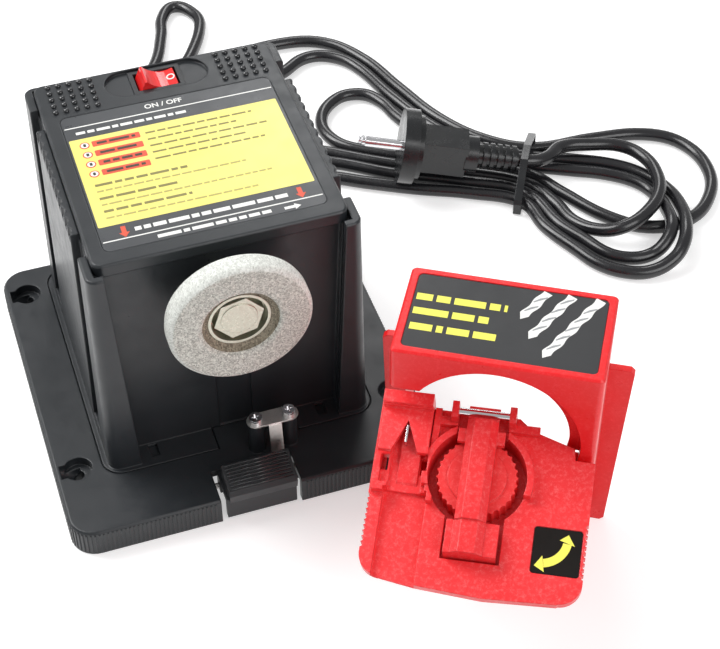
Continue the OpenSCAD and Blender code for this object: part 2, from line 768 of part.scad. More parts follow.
module module_frame() {
    half = box_w / 2;
    cut_z = opening_z + 17.5;
    rail_back = rail_my + rail_t;
    color(red) difference() {
        union() {
            in_module() difference() {
                union() {
                    translate([0, box_d / 2, 0]) slab(box_w, box_d, 2, box_h, 0.8);
                    translate([0, rail_back, 0]) rotate([90, 0, 0]) linear_extrude(rail_t) rail_outline();
                }
                // hollow of the box
                translate([-half + side_t, side_t, -1])
                    cube([box_w - 2 * side_t, box_d - side_t + (box_h > overhang_z ? 0 : 1) - side_t,
                          box_h - side_t - 0.6 + 1]);
                translate([-half + side_t, side_t, -1])
                    cube([box_w - 2 * side_t, box_d, overhang_z + 1 + 2]);
                // room for the power unit behind the rails
                translate([-half - 1, rail_back, -1]) cube([box_w + 2, box_d, overhang_z + 1]);
                translate([-half - 1, cover_front_my, shelf_mz]) cube([box_w + 2, box_d, overhang_z - shelf_mz]);
                // open front left corner, where the gauge swings
                translate([-half - 1, -1, -1]) cube([half + 1, 22, cut_z + 1]);
                translate([-eps, -1, -1]) cube([half + 1, side_t + 2, opening_z - 22]);
                // wheel opening
                translate([0, 0, opening_z]) rod_y(2 * opening_r, -1, side_t + 1);
                // seat of the label
                translate([0, box_d / 2, box_h - 0.6]) linear_extrude(2) round_rect(box_w - 6, box_d - 6, 2);
            }
            // guard behind the right half of the opening
            in_module() intersection() {
                difference() {
                    translate([0, 0, opening_z]) rod_y(2 * opening_r + 5, side_t - eps, 7);
                    translate([0, 0, opening_z]) rod_y(2 * opening_r - 9, 5, 8);
                    translate([0, 0, opening_z]) rod_y(2 * opening_r, side_t - 1, 5);
                }
                translate([2.2, 0, opening_z - 6]) cube([half - 2.2 - side_t + eps, 10, 60]);
            }
            // lower cross wall and its ribs, which carry the shelf
            in_module() translate([-half, 22, 0]) cube([box_w, side_t, opening_z - 32]);
            in_module() for (x = [-1, 1])
                translate([x * (half - side_t / 2) - side_t / 2, 20.5, 0])
                    cube([side_t, rail_back - 20.5 - 0.5, 60]);
            in_module() for (x = [-16, 16]) translate([x - 1.5, 0, 0]) rotate([90, 0, 90]) linear_extrude(3)
                polygon([[22.1, 12], [22.1, opening_z - 32.1], [6, 64], [-20.6, 54.4], [-20.4, 51.6]]);
            on_shelf() translate([-34, -28, shelf_h - shelf_t]) cube([68, 34, shelf_t]);
            on_shelf() translate([pivot[0], pivot[1], shelf_h - shelf_t])
                cylinder(d = pivot_d + 7, h = shelf_t + 2);
            on_shelf() translate([24, -12, shelf_h - 1])
                cylinder(d = 7, h = -shelf_h + 1 - table_t - gap);
        }
        on_shelf() translate([pivot[0], pivot[1], shelf_h - shelf_t - 1])
            cylinder(d = pivot_d, h = shelf_t + 4);
        // room for the latch spring when the module is mounted
        in_module() translate([spring_x - 12, 20, -1]) cube([24, 6, post_h + 6]);
    }
}

module module_label() {
    color(black) in_module() translate([0, box_d / 2, box_h - 0.6]) linear_extrude(0.35)
        round_rect(box_w - 6.4, box_d - 6.4, 1.8);
}

// Outline of the swing table, seen square to its face
module table_outline() {
    front = -58.4;
    r = 8;
    difference() {
        union() {
            polygon([[table_l, 9.5], [-21, 9.5], [-21, 8.5], [9.5, 8.5], [14.5, 4.5], [29.8, -0.3],
                     [30.3, -4.6], [table_r, -4.9], [table_r, front + r + 1.5], [table_r - r, front + 1.2],
                     [4, front], [-20, front + 1.6],
                     [table_l + r, front + 3.4], [table_l, front + r + 3.4]]);
            translate([table_r - r, front + r + 1.5]) circle(r);
            translate([table_l + r, front + r + 3.4]) circle(r);
        }
        for (i = [0 : 9]) {
            translate([table_r + 0.15, -28.5 - i * 2]) circle(0.95, $fn = 16);
            translate([table_l - 0.15, -26.5 - i * 2]) circle(0.95, $fn = 16);
        }
    }
}

module swing_table() {
    gauge_l = -39;
    gauge_r = -21;
    wall_h = 4;
    color(red) on_table() difference() {
        union() {
            translate([0, 0, -table_t]) linear_extrude(table_t) table_outline();
            // skirts under the grips
            for (x = [table_l + 0.9, table_r - 3.4])
                translate([x, -48, -11]) cube([2.5, 40, 11]);
            // cup of the knob
            translate([knob_at[0], knob_at[1], pocket_floor - cup_t])
                cylinder(r = pocket_r + cup_t, h = -pocket_floor + cup_t - 0.5);
            // walls that curve round the knob
            translate([knob_at[0], knob_at[1], -1]) difference() {
                cylinder(r = pocket_r + 2.4, h = wall_h + 1);
                translate([0, 0, -1]) cylinder(r = pocket_r, h = wall_h + 4);
                translate([-30, -41, -1]) cube([60, 36, 10]);
                translate([-ear_gap / 2, 0, -1]) cube([ear_gap, 30, 10]);
            }
            // ears of the clamp pin, with their arms
            for (s = [-1, 1])
                translate([bar_x + s * (ear_gap + ear_t) / 2 - ear_t / 2, pin_at[0] - 3.4, -1])
                    cube([ear_t, 6, pin_at[1] + 4]);
            translate([bar_x + ear_gap / 2, pin_at[0] - 4.4, -1]) cube([11, 3, wall_h]);
            translate([bar_x - ear_gap / 2 - 8, pin_at[0] - 4.4, -1]) cube([8, 3, wall_h]);
            // wall between the gauge and the knob, and the small ears of the trough
            translate([-20.6, -27, -1]) cube([2.4, 35, wall_h]);
            translate([-21.6, -27, -1]) cube([4, 3, wall_h + 0.6]);
            translate([table_l + 0.8, -25, -1]) cube([5.6, 3, wall_h + 0.6]);
            translate([table_l + 0.8, -22.5, -1]) cube([2.2, 11, wall_h]);
            // boss of the pivot
            translate([pivot[0], pivot[1], shelf_h + 2 + gap]) cylinder(d = pivot_d + 7, h = -shelf_h - 2 - gap - 2);
        }
        // trough for the drill
        translate([trough_l, -80, -trough_depth]) cube([trough_r - trough_l, 80 - 23.5, 20]);
        translate([trough_l + 1.2, -23.6, -1.6]) cube([gauge_r - 1.2 - trough_l - 1.2, 27, 20]);
        for (x = [-38, -23.9]) translate([x + 0.6, -16.5, -table_t - 1]) cube([2.6, 6, 12]);
        // pocket of the knob and of the bar's foot
        translate([knob_at[0], knob_at[1], pocket_floor]) cylinder(r = pocket_r, h = 20);
        translate([-12.2, -46, -3.6]) cube([20.6, 20, 20]);
        translate([knob_at[0], knob_at[1], pocket_floor - cup_t - 1])
            cylinder(d = knob_screw_d + 2 * run_fit, h = 6);
        // bores of the clamp pin and the pivot
        translate([0, pin_at[0], pin_at[1]]) rod_x(clamp_pin_d, bar_x - ear_gap, bar_x + ear_gap);
        translate([pivot[0], pivot[1], shelf_h - 2]) cylinder(d = pivot_d + 2 * run_fit, h = -shelf_h + 2 - 3.4);
        // seat of the decal
        translate([27.5, -38.55, -0.4]) linear_extrude(2) round_rect(17, 17, 1.2);
    }
    color(red) on_table() translate([pivot[0] - 3.6, 0, 0]) rotate([90, 0, 90]) linear_extrude(7.2)
        polygon([[-21, -1.7], [-20, -1], [-4, 0.6], [3, 0.6], [3, -1.7]]);
}

module table_pivot() {
    color(steel) on_shelf() translate([pivot[0], pivot[1], 0]) {
        translate([0, 0, shelf_h - shelf_t - 1.2]) cylinder(d = pivot_d, h = -shelf_h + shelf_t + 1.2 - 3.7);
        translate([0, 0, shelf_h - shelf_t - 4]) cross_head(10, 2.8);
    }
}

module pivot_washer() {
    color(steel) on_shelf() translate([pivot[0], pivot[1], shelf_h - shelf_t - 1.2]) difference() {
        cylinder(d = 12, h = 1.2);
        translate([0, 0, -1]) cylinder(d = pivot_d, h = 4);
    }
}

module table_decal() {
    color("gold") on_table() translate([27.5, -38.55, -0.4]) linear_extrude(0.3) round_rect(16.6, 16.6, 1);
}

module drill_gauge() {
    left = -38.8;
    right = -21;
    seat = 0.02;
    color(red) on_table() {
        difference() {
            translate([left, 5.2, seat]) cube([right - left, 4.6, 11 - seat]);
            for (z = [6.6, 8.8]) translate([left - 1, 4.6, z]) cube([30, 1.2, 0.8]);
        }
        difference() {
            translate([left, -10.5, 2.6]) cube([right - left, 15.8, 2.6]);
            translate([0, 0, -1]) linear_extrude(12)
                polygon([[-29.4, 1.2], [-34.3, -11], [-24.5, -11]]);
        }
        translate([left, -2, seat]) cube([2, 8, 3]);
        translate([right - 2, -2, seat]) cube([2, 8, 3]);
    }
}

module gauge_finger() {
    color(steel) on_table() translate([-29.7, -7, 0.6]) cube([0.8, 6.5, 4.2]);
}

module clamp_pin() {
    color(steel) on_table() translate([0, pin_at[0], pin_at[1]])
        rod_x(clamp_pin_d, bar_x - ear_gap / 2 - ear_t, bar_x + ear_gap / 2 + ear_t);
}

module clamp_bar() {
    z0 = 3.6;
    z1 = 9;
    color(red) on_table() translate([bar_x, 0, 0]) difference() {
        union() {
            translate([0, 3.6, 0]) rotate([90, 0, 0]) linear_extrude(37)
                polygon([[-bar_w / 2, z0], [bar_w / 2, z0], [bar_w / 2, z1 - 2.4], [bar_w / 2 - 2.6, z1],
                         [-bar_w / 2 + 2.6, z1], [-bar_w / 2, z1 - 2.4]]);
            translate([-bar_w / 2, pin_at[0] - 3.2, pin_at[1] - 3]) cube([bar_w, 5.6, 3]);
            translate([-bar_w / 2 - 2.8, -4.4, z0 - 0.6]) cube([bar_w + 5.6, 5, 2.4]);
            translate([-8.1, -45.2, -3]) cube([18.3, 12, 8.2]);
            translate([0, -33, 0]) rotate([90, 0, 0]) linear_extrude(12.2)
                polygon([[-bar_w / 2, 2], [bar_w / 2, 2], [bar_w / 2, z1 - 3.2], [bar_w / 2 - 2.6, z1 - 1],
                         [-bar_w / 2 + 2.6, z1 - 1], [-bar_w / 2, z1 - 3.2]]);
        }
        translate([0, pin_at[0], pin_at[1]]) rod_x(clamp_pin_d + 2 * run_fit, -bar_w, bar_w);
        translate([-9, pin_at[0] - clamp_pin_d / 2 - 0.5, pin_at[1] + 0.7]) cube([18, 8, 9]);
        translate([0, 0, -5]) translate([knob_at[0] - bar_x, knob_at[1], 0]) cylinder(r = knob_d / 2 + 1.2, h = 7.6);
    }
}

module clamp_knob() {
    r = knob_d / 2;
    color(red) on_table() translate([knob_at[0], knob_at[1], 0]) difference() {
        union() {
            translate([0, 0, pocket_floor + gap]) cylinder(r = r - 0.5, h = -pocket_floor + 2);
            translate([0, 0, 1]) cylinder(d = knob_d * 0.7, h = 2.2);
        }
        for (i = [0 : knob_lobes - 1]) rotate([0, 0, i * 360 / knob_lobes])
            translate([r + 0.1, 0, pocket_floor - 1]) cylinder(d = PI * knob_d / knob_lobes * 0.9, h = 12);
        translate([0, 0, pocket_floor]) cylinder(d = knob_screw_d, h = -pocket_floor);
    }
}

module knob_screw() {
    nut_z = pocket_floor - cup_t - gap - nut_t;
    color(steel) on_table() translate([knob_at[0], knob_at[1], 0]) {
        translate([0, 0, nut_z]) cylinder(d = knob_screw_d, h = -nut_z);
        translate([0, 0, nut_z]) cylinder(d = 10, h = nut_t, $fn = 6);
    }
}

// Route of the free cord from its exit to the plug: it lies on the bench in four tied loops, and it
// rises in a hump wherever it passes over itself
cord_points = [
    [10, 84, 20], [11, 97, 19], [12, 112, 12.5], [14, 130, 5.5], [18, 155, 3.3], [25, 180, 3.3],
    [36, 200, 3.3], [48, 217, 3.3], [58, 238, 3.3], [58, 250, 3.3], [49.5, 259.5, 3.3], [41, 251, 3.3],
    [37, 237, 3.3], [28, 214, 3.3], [10, 190, 3.3], [-6, 160, 3.3], [-4, 128, 3.3], [22, 113, 3.3],
    [46, 119, 9.7], [66, 122, 4.5], [90, 112.5, 3.3], [115, 95.5, 3.3], [142, 81, 3.3],
    [168.8, 62.9, 3.3], [176, 37, 3.3], [182.5, 24, 3.3], [188.5, 12.5, 3.3], [196.5, 6.5, 3.3],
    [206.5, 5, 3.8], [214, 6.5, 7.5], [220, 13, 10.2], [224, 26, 8], [226, 41.5, 3.6], [222, 52.5, 3.3],
    [210.5, 63, 3.3], [194.5, 71.5, 3.3], [178.7, 80, 3.3], [156, 96, 3.3], [140.5, 113, 3.3],
    [131, 135, 3.3], [127, 149, 3.3], [119, 158, 3.3], [106, 157.5, 3.3], [94.5, 144, 3.3],
    [96, 127.5, 3.3], [108, 115.5, 3.3], [130, 102, 3.3], [153, 87, 3.3], [175.3, 74.3, 3.3],
    [185.5, 57, 3.3], [198, 36, 3.3], [213, 23, 3.3], [232, 21, 3.3], [248, 31, 3.3], [257.5, 50, 3.3],
    [254.5, 71.5, 3.3], [240, 84, 3.3], [214, 89, 3.3], [185.2, 91.5, 3.3], [165, 105, 3.3],
    [149.5, 128, 3.3], [139, 157, 3.3], [130, 184, 3.3], [115, 204, 3.3], [93, 210.5, 3.3],
    [64, 206, 3.3], [40, 190, 3.3], [31, 162, 3.3], [36, 134, 3.3], [54, 113, 3.3], [82, 104.5, 3.3],
    [102, 93, 3.3], [122, 82, 3.3], [145, 71, 3.3], [165.4, 57.2, 3.3], [169, 38, 3.3],
    [176.5, 19.5, 3.3], [182.5, 7, 3.3], [192, -1.5, 3.3], [203, -5, 3.8], [213.5, -3.5, 6.5],
    [220.5, 1.5, 9.5], [226.5, 11.5, 10.2], [231.5, 26, 7.5], [233, 43.5, 3.6], [226.5, 57.5, 3.3],
    [215.5, 68.5, 3.3], [199.5, 77.5, 3.3], [181.9, 85.8, 3.3], [161, 100, 3.3], [145.5, 121, 3.3],
    [133.5, 151, 3.3], [124, 181, 3.3], [113.5, 192.5, 3.3], [101, 194.5, 3.3], [88, 187, 3.3],
    [70, 179, 3.3], [58, 158, 3.3], [68, 137, 3.3], [93, 118.5, 3.3], [118, 101.5, 3.3],
    [146, 86.5, 3.3], [172.1, 68.6, 3.3], [179.5, 52, 3.3], [182.5, 37.5, 3.5], [190.5, 24.5, 6.5],
    [200.5, 20, 10], [213, 24.5, 11.3], [223.5, 34.5, 11.3], [229, 48.5, 10.4], [228.5, 62, 10],
    [221.5, 72.5, 10], [208, 77.5, 10.6], [193, 78.5, 12.2], [184, 72.5, 13.4], [175.5, 70.7, 14.6],
    [164.2, 74.2, 16.3]
];

function at_end(p, i) = p[max(0, min(len(p) - 1, i))];
function unit(v) = v / norm(v);

// A round tube through the points, as one closed polyhedron
module tube(p, d, sides) {
    n = len(p);
    rings = [for (i = [0 : n - 1])
        let (along = unit(at_end(p, i + 1) - at_end(p, i - 1)),
             side = unit(cross([0, 0, 1], along)),
             up = cross(along, side))
        for (k = [0 : sides - 1])
            p[i] + d / 2 * (cos(k * 360 / sides) * side + sin(k * 360 / sides) * up)];
    walls = [for (i = [0 : n - 2], k = [0 : sides - 1])
        let (k2 = (k + 1) % sides)
        for (f = [[i * sides + k, (i + 1) * sides + k, (i + 1) * sides + k2],
                  [i * sides + k, (i + 1) * sides + k2, i * sides + k2]]) f];
    ends = [[for (k = [0 : sides - 1]) k],
            [for (k = [sides - 1 : -1 : 0]) (n - 1) * sides + k]];
    polyhedron(rings, concat(walls, ends));
}

module mains_cord() {
    color(black) tube(cord_points, cord_d, 8);
}

module cord_tie() {
    color(dark) translate([187, 94.5, 0]) rotate([0, 0, -120]) rotate([90, 0, 0]) linear_extrude(3.6)
        difference() {
            polygon([[-2, 0], [48.5, 0], [49.5, 1], [49.5, 6.6], [48, 8.4], [31, 18.9], [20.5, 18.9],
                     [-1.5, 8.4], [-3, 6.6], [-3, 1]]);
            polygon([[-1.7, 0.8], [48.2, 0.8], [48.7, 1.3], [48.7, 6.3], [47.5, 7.8], [30.7, 18.1],
                     [20.8, 18.1], [-1, 7.8], [-2.2, 6.3], [-2.2, 1.3]]);
        }
}

// The plug's frame: X runs from its flange back along the cord
module at_plug() {
    translate([116.6, 90.6, 24.3]) rotate([0, 0, -19]) rotate([0, 9, 0]) rotate([-plug_roll, 0, 0])
        children();
}

module plug_body() {
    color(dark) at_plug() difference() {
        union() {
            rod_x(plug_flange_d, 0, 7);
            rod_x(plug_flange_d - 5, 6, 9.5);
            rotate([plug_roll, 0, 0]) translate([9, -7.5, -8.5]) cube([22, 15, 17]);
            rod_x(17, 30, 36);
            rod_x(10.4, 35, 55);
            for (i = [0 : 4]) rod_x(12.6, 38.5 + 3.4 * i, 40.5 + 3.4 * i);
        }
        for (s = [-1, 1]) translate([0, s * 9.5, 0]) rod_x(4.8, -1, 8);
        rod_x(cord_d, 49, 60);
    }
}

module plug_pins() {
    color(steel) at_plug() for (s = [-1, 1]) translate([0, s * 9.5, 0]) {
        rod_x(4.8, -17.6, 8);
        rod_x(3.4, -19, -17);
    }
}

base_plate();
bottom_cover();
rubber_feet();
tower_housing();
top_cover();
rating_label();
switch_body();
switch_rocker();
latch_lever();
latch_pivot_pin();
latch_spring();
latch_spring_screws();
housing_screws();
cover_screws();
motor_can();
motor_end_cap();
motor_magnets();
motor_armature();
motor_commutator();
motor_brushes();
motor_shaft();
front_bearing();
rear_bearing();
cooling_fan();
motor_screws();
wheel_hub();
grinding_wheel();
wheel_bolt();
rectifier_board();
noise_capacitor();
switch_leads();
cord_gland();
module_frame();
module_label();
swing_table();
table_pivot();
pivot_washer();
table_decal();
drill_gauge();
gauge_finger();
clamp_pin();
clamp_bar();
clamp_knob();
knob_screw();
mains_cord();
cord_tie();
plug_body();
plug_pins();
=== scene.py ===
# %% [markdown]
# # A bench drill bit sharpener
# This notebook dresses a drill bit sharpener: a black power unit with a grinding wheel, the red drill
# module that stands beside it, and a tied mains cord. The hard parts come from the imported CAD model
# and keep their size. Blender adds the camera, the light, the finishes, the prints and the fine shapes
# that CAD leaves out.

# %% Load the frame
import math
import random

import bmesh
import bpy
from mathutils import Matrix, Vector


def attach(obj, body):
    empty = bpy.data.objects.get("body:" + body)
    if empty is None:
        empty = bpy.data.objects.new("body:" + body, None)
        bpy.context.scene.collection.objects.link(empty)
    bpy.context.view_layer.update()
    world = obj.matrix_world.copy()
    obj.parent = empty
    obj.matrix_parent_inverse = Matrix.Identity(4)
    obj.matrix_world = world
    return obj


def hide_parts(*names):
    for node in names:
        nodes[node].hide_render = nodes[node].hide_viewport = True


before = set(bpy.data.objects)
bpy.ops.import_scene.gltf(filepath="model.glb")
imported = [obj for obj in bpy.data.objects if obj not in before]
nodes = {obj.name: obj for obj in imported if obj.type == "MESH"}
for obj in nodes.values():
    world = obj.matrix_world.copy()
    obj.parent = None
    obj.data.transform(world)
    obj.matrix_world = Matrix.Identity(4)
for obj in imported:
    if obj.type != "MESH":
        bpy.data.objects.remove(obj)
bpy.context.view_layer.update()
scene = bpy.context.scene
MM = 0.001
print("nodes loaded:", len(nodes))

# %% [markdown]
# ## Camera
# The camera looks down from the front, a little from the left. It could stand close with a wide lens,
# but a long lens from further off keeps the edges nearly parallel, so proportions are easy to judge.
# The focal length is given in pixels, for an image 720 pixels wide.

# %% Camera
FOCAL_PIXELS = 1773.2
IMAGE_WIDTH = 720
SENSOR_WIDTH = 36
CAMERA_PLACE = (-0.1010, -0.5064, 0.5552)
YAW, PITCH, ROLL = math.radians(18.29), math.radians(45.66), math.radians(-0.30)

camera_data = bpy.data.cameras.new("camera")
camera_data.sensor_fit = "HORIZONTAL"
camera_data.sensor_width = SENSOR_WIDTH
camera_data.lens = FOCAL_PIXELS / IMAGE_WIDTH * SENSOR_WIDTH
camera_data.clip_end = 20
camera = bpy.data.objects.new("camera", camera_data)
scene.collection.objects.link(camera)
camera.location = CAMERA_PLACE
look = Vector((math.sin(YAW) * math.cos(PITCH), math.cos(YAW) * math.cos(PITCH), -math.sin(PITCH)))
camera.rotation_mode = "QUATERNION"
camera.rotation_quaternion = look.to_track_quat("-Z", "Y") @ Matrix.Rotation(ROLL, 3, "Z").to_quaternion()
scene.camera = camera
print("lens", round(camera_data.lens, 1), "mm")

# %% [markdown]
# ## Places in the model
# Every piece keeps its object at the origin, with its place in its mesh. The drill module stands
# turned on the bench, and its table leans on a slanted shelf and is swung a little about its pivot.
# Each print is drawn flat, in millimetres, and one matrix then carries it to its surface. That is
# simpler than turning every point by hand, and a drawing moves with its frame.

# %% Frames of the module and its table
MODULE_PLACE, SHELF_PLACE, PIVOT_PLACE = (0.071, -0.1328, 0), (0, 0, 0.0775), (-0.02735, -0.002, 0)
MODULE_TURN, SHELF_SLANT, TABLE_SWING = math.radians(-30.7), math.radians(20), math.radians(2.4)
in_module = Matrix.Translation(MODULE_PLACE) @ Matrix.Rotation(MODULE_TURN, 4, "Z")
on_shelf = in_module @ Matrix.Translation(SHELF_PLACE) @ Matrix.Rotation(SHELF_SLANT, 4, "X")
pivot = Matrix.Translation(PIVOT_PLACE)
on_table = on_shelf @ pivot @ Matrix.Rotation(TABLE_SWING, 4, "Z") @ pivot.inverted()
UPRIGHT = Matrix.Identity(4)
print("the module is turned by", round(math.degrees(MODULE_TURN), 1), "degrees")

# %% [markdown]
# ## From a drawing to a piece
# Ribs, prints and domes are too fine for the CAD model, so they are drawn here as meshes. Each could set
# its own scale and place. One helper does it for all of them: it scales a drawing to metres, carries it
# to its place, turns its faces outward and lets it ride on a body.

# %% Helper that turns a drawing into a piece
def finish_mesh(name, bm, place, material, body, smooth=True):
    """Turns a bmesh drawn in millimetres into a piece that rides on a body."""
    bmesh.ops.scale(bm, vec=(MM, MM, MM), verts=bm.verts)
    bmesh.ops.transform(bm, matrix=place, verts=bm.verts)
    bmesh.ops.recalc_face_normals(bm, faces=bm.faces)
    mesh = bpy.data.meshes.new(name)
    bm.to_mesh(mesh)
    bm.free()
    mesh.polygons.foreach_set("use_smooth", [smooth] * len(mesh.polygons))
    mesh.materials.append(material)
    piece = bpy.data.objects.new(name, mesh)
    scene.collection.objects.link(piece)
    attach(piece, body)
    return piece


print("helper for pieces ready")

# %% [markdown]
# ## Finishes
# The real parts are moulded plastic, plated and turned steel, and grit. All their finishes are built
# from nodes that read Object coordinates, so a pattern stays on its part when the part moves. One
# helper lays the base: a principled shader, a slow drift of colour, patches that break up the gloss,
# and a fine bump. A bevel node rounds the edges of the CAD parts in the light. A Bevel modifier could
# do that too, but it would change the meshes, which are long thin triangles.

# %% Helpers for shader nodes
BEVEL_SAMPLES = 6


def link(tree, output, socket):
    """Joins an output of one node to an input of another."""
    tree.links.new(output, socket)


def new_material(name, color, roughness, metallic=0.0, specular=0.5):
    """A material with a principled shader whose plain values sit on its own sockets."""
    material = bpy.data.materials.new(name)
    material.use_nodes = True
    shader = material.node_tree.nodes["Principled BSDF"]
    shader.inputs["Base Color"].default_value = (*color, 1)
    shader.inputs["Roughness"].default_value = roughness
    shader.inputs["Metallic"].default_value = metallic
    shader.inputs["Specular IOR Level"].default_value = specular
    return material, material.node_tree, shader


def object_noise(tree, scale, detail, roughness=0.6, stretch=(1, 1, 1)):
    """Noise on Object coordinates, with scale in features per metre."""
    place = tree.nodes.new("ShaderNodeTexCoord")
    mapping = tree.nodes.new("ShaderNodeMapping")
    mapping.inputs["Scale"].default_value = stretch
    noise = tree.nodes.new("ShaderNodeTexNoise")
    noise.inputs["Scale"].default_value = scale
    noise.inputs["Detail"].default_value = detail
    noise.inputs["Roughness"].default_value = roughness
    link(tree, place.outputs["Object"], mapping.inputs["Vector"])
    link(tree, mapping.outputs["Vector"], noise.inputs["Vector"])
    return noise.outputs["Fac"]


def ramp(tree, value, low, high, start, end):
    """Maps value from start..end to low..high. Colours give a colour ramp, numbers a number."""
    if isinstance(low, tuple):
        node = tree.nodes.new("ShaderNodeValToRGB")
        node.color_ramp.elements[0].position = start
        node.color_ramp.elements[1].position = end
        node.color_ramp.elements[0].color = (*low, 1)
        node.color_ramp.elements[1].color = (*high, 1)
        link(tree, value, node.inputs["Fac"])
        return node.outputs["Color"]
    node = tree.nodes.new("ShaderNodeMapRange")
    node.inputs["From Min"].default_value = start
    node.inputs["From Max"].default_value = end
    node.inputs["To Min"].default_value = low
    node.inputs["To Max"].default_value = high
    link(tree, value, node.inputs["Value"])
    return node.outputs["Result"]


def add_bump(tree, shader, height, depth, edge=0.0):
    """Bump of a real depth in metres, over edges rounded by a bevel node of radius edge."""
    bump = tree.nodes.new("ShaderNodeBump")
    bump.inputs["Distance"].default_value = depth
    link(tree, height, bump.inputs["Height"])
    if edge:
        bevel = tree.nodes.new("ShaderNodeBevel")
        bevel.samples = BEVEL_SAMPLES
        bevel.inputs["Radius"].default_value = edge
        link(tree, bevel.outputs["Normal"], bump.inputs["Normal"])
    link(tree, bump.outputs["Normal"], shader.inputs["Normal"])


print("helpers for shader nodes ready")

# %% [markdown]
# ## Plastic and metal
# Moulded plastic has a fine grain and wears unevenly, and plated or turned steel has fine marks in its
# gloss. Painted textures could show this, but noise needs no file and has no seam. Scales are in
# features per metre, so a dull patch is about eight millimetres across and a scuff less than two.

# %% Helpers for plastic and metal
DRIFT_SCALE, PATCH_SCALE, SCUFF_SCALE = 22, 120, 620
COAT_ROUGHNESS = 0.12
METAL_EDGE = 0.0003


def moulded(name, color, dark, roughness, edge=0.0004, grain=2600, grain_depth=0.00002, coat=0.0):
    """Moulded plastic: a hint of colour drift, worn and dull patches in the gloss, and fine grain."""
    material, tree, shader = new_material(name, color, roughness)
    drift = object_noise(tree, DRIFT_SCALE, 3)
    link(tree, ramp(tree, drift, dark, color, 0.3, 0.7), shader.inputs["Base Color"])
    patch = object_noise(tree, PATCH_SCALE, 8, 0.7)
    link(tree, ramp(tree, patch, roughness - 0.07, roughness + 0.12, 0.3, 0.75), shader.inputs["Roughness"])
    add_bump(tree, shader, object_noise(tree, grain, 2), grain_depth, edge)
    if coat:
        shader.inputs["Coat Weight"].default_value = coat
        shader.inputs["Coat Roughness"].default_value = COAT_ROUGHNESS
    return material


def scuffed(name, color, dark, pale, roughness):
    """Moulded red plastic that handling has dulled: pale scuffs in patches over the plain colour."""
    material = moulded(name, color, dark, roughness, edge=0.0005, grain=1500, grain_depth=0.00004)
    tree = material.node_tree
    shader = tree.nodes["Principled BSDF"]
    plain = shader.inputs["Base Color"].links[0].from_socket
    mix = tree.nodes.new("ShaderNodeMix")
    mix.data_type = "RGBA"
    scuffs = object_noise(tree, SCUFF_SCALE, 10, 0.80)
    link(tree, ramp(tree, scuffs, 0.0, 0.75, 0.49, 0.74), mix.inputs["Factor"])
    link(tree, plain, mix.inputs["A"])
    mix.inputs["B"].default_value = (*pale, 1)
    link(tree, mix.outputs["Result"], shader.inputs["Base Color"])
    return material


def metal(name, color, roughness, stretch=(1, 1, 1), scale=900, depth=0.00001):
    """Metal with fine marks in its gloss."""
    material, tree, shader = new_material(name, color, roughness, 1.0)
    marks = object_noise(tree, scale, 5, 0.6, stretch)
    link(tree, ramp(tree, marks, roughness * 0.6, roughness * 1.7, 0.3, 0.7), shader.inputs["Roughness"])
    add_bump(tree, shader, marks, depth, METAL_EDGE)
    return material


print("helpers for plastic and metal ready")

# %% [markdown]
# ## Colours of the power unit
# The case is a cool black with soft edges, the plug is darker and glossier, and the studs of the cover
# shine. The parts inside have the colours that such parts usually have. Each finish is two close
# colours and a roughness, because plain values are easier to correct by eye than a painted picture.

# %% Finishes of the power unit
case_black = moulded("case black", (0.022, 0.025, 0.029), (0.016, 0.019, 0.022), 0.34, edge=0.0008)
trim_black = moulded("trim black", (0.024, 0.026, 0.030), (0.017, 0.019, 0.021), 0.40)
cable_black = moulded("cable black", (0.014, 0.015, 0.017), (0.010, 0.011, 0.012), 0.24)
stud_black = moulded("stud black", (0.020, 0.021, 0.024), (0.015, 0.016, 0.018), 0.12, edge=0.0, coat=0.6)
foot_rubber = moulded("foot rubber", (0.02, 0.02, 0.02), (0.015, 0.015, 0.015), 0.8)
rocker_red = moulded("rocker red", (0.86, 0.03, 0.03), (0.76, 0.015, 0.015), 0.20, coat=0.4)
polished = metal("polished steel", (0.80, 0.80, 0.82), 0.12)
nickel = metal("brushed nickel", (0.78, 0.77, 0.74), 0.40, (1, 12, 12), 420, 0.000014)
hub_steel = metal("hub steel", (0.57, 0.57, 0.48), 0.36, scale=1400, depth=0.00002)
turned = metal("turned steel", (0.62, 0.61, 0.60), 0.30)
zinc = metal("zinc plate", (0.55, 0.55, 0.53), 0.35)
copper = metal("bare copper", (0.75, 0.36, 0.20), 0.25)
enamel = moulded("enamelled winding", (0.42, 0.16, 0.05), (0.30, 0.10, 0.03), 0.35)
carbon = moulded("carbon brush", (0.05, 0.05, 0.05), (0.03, 0.03, 0.03), 0.6)
magnet = moulded("ferrite magnet", (0.08, 0.08, 0.08), (0.05, 0.05, 0.05), 0.6)
board_green = moulded("board lacquer", (0.03, 0.20, 0.07), (0.02, 0.14, 0.05), 0.25)
blue_case = moulded("capacitor blue", (0.06, 0.18, 0.42), (0.04, 0.14, 0.34), 0.3)
lead_brown = moulded("lead brown", (0.18, 0.08, 0.03), (0.12, 0.05, 0.02), 0.4)
print("finishes of the power unit made")
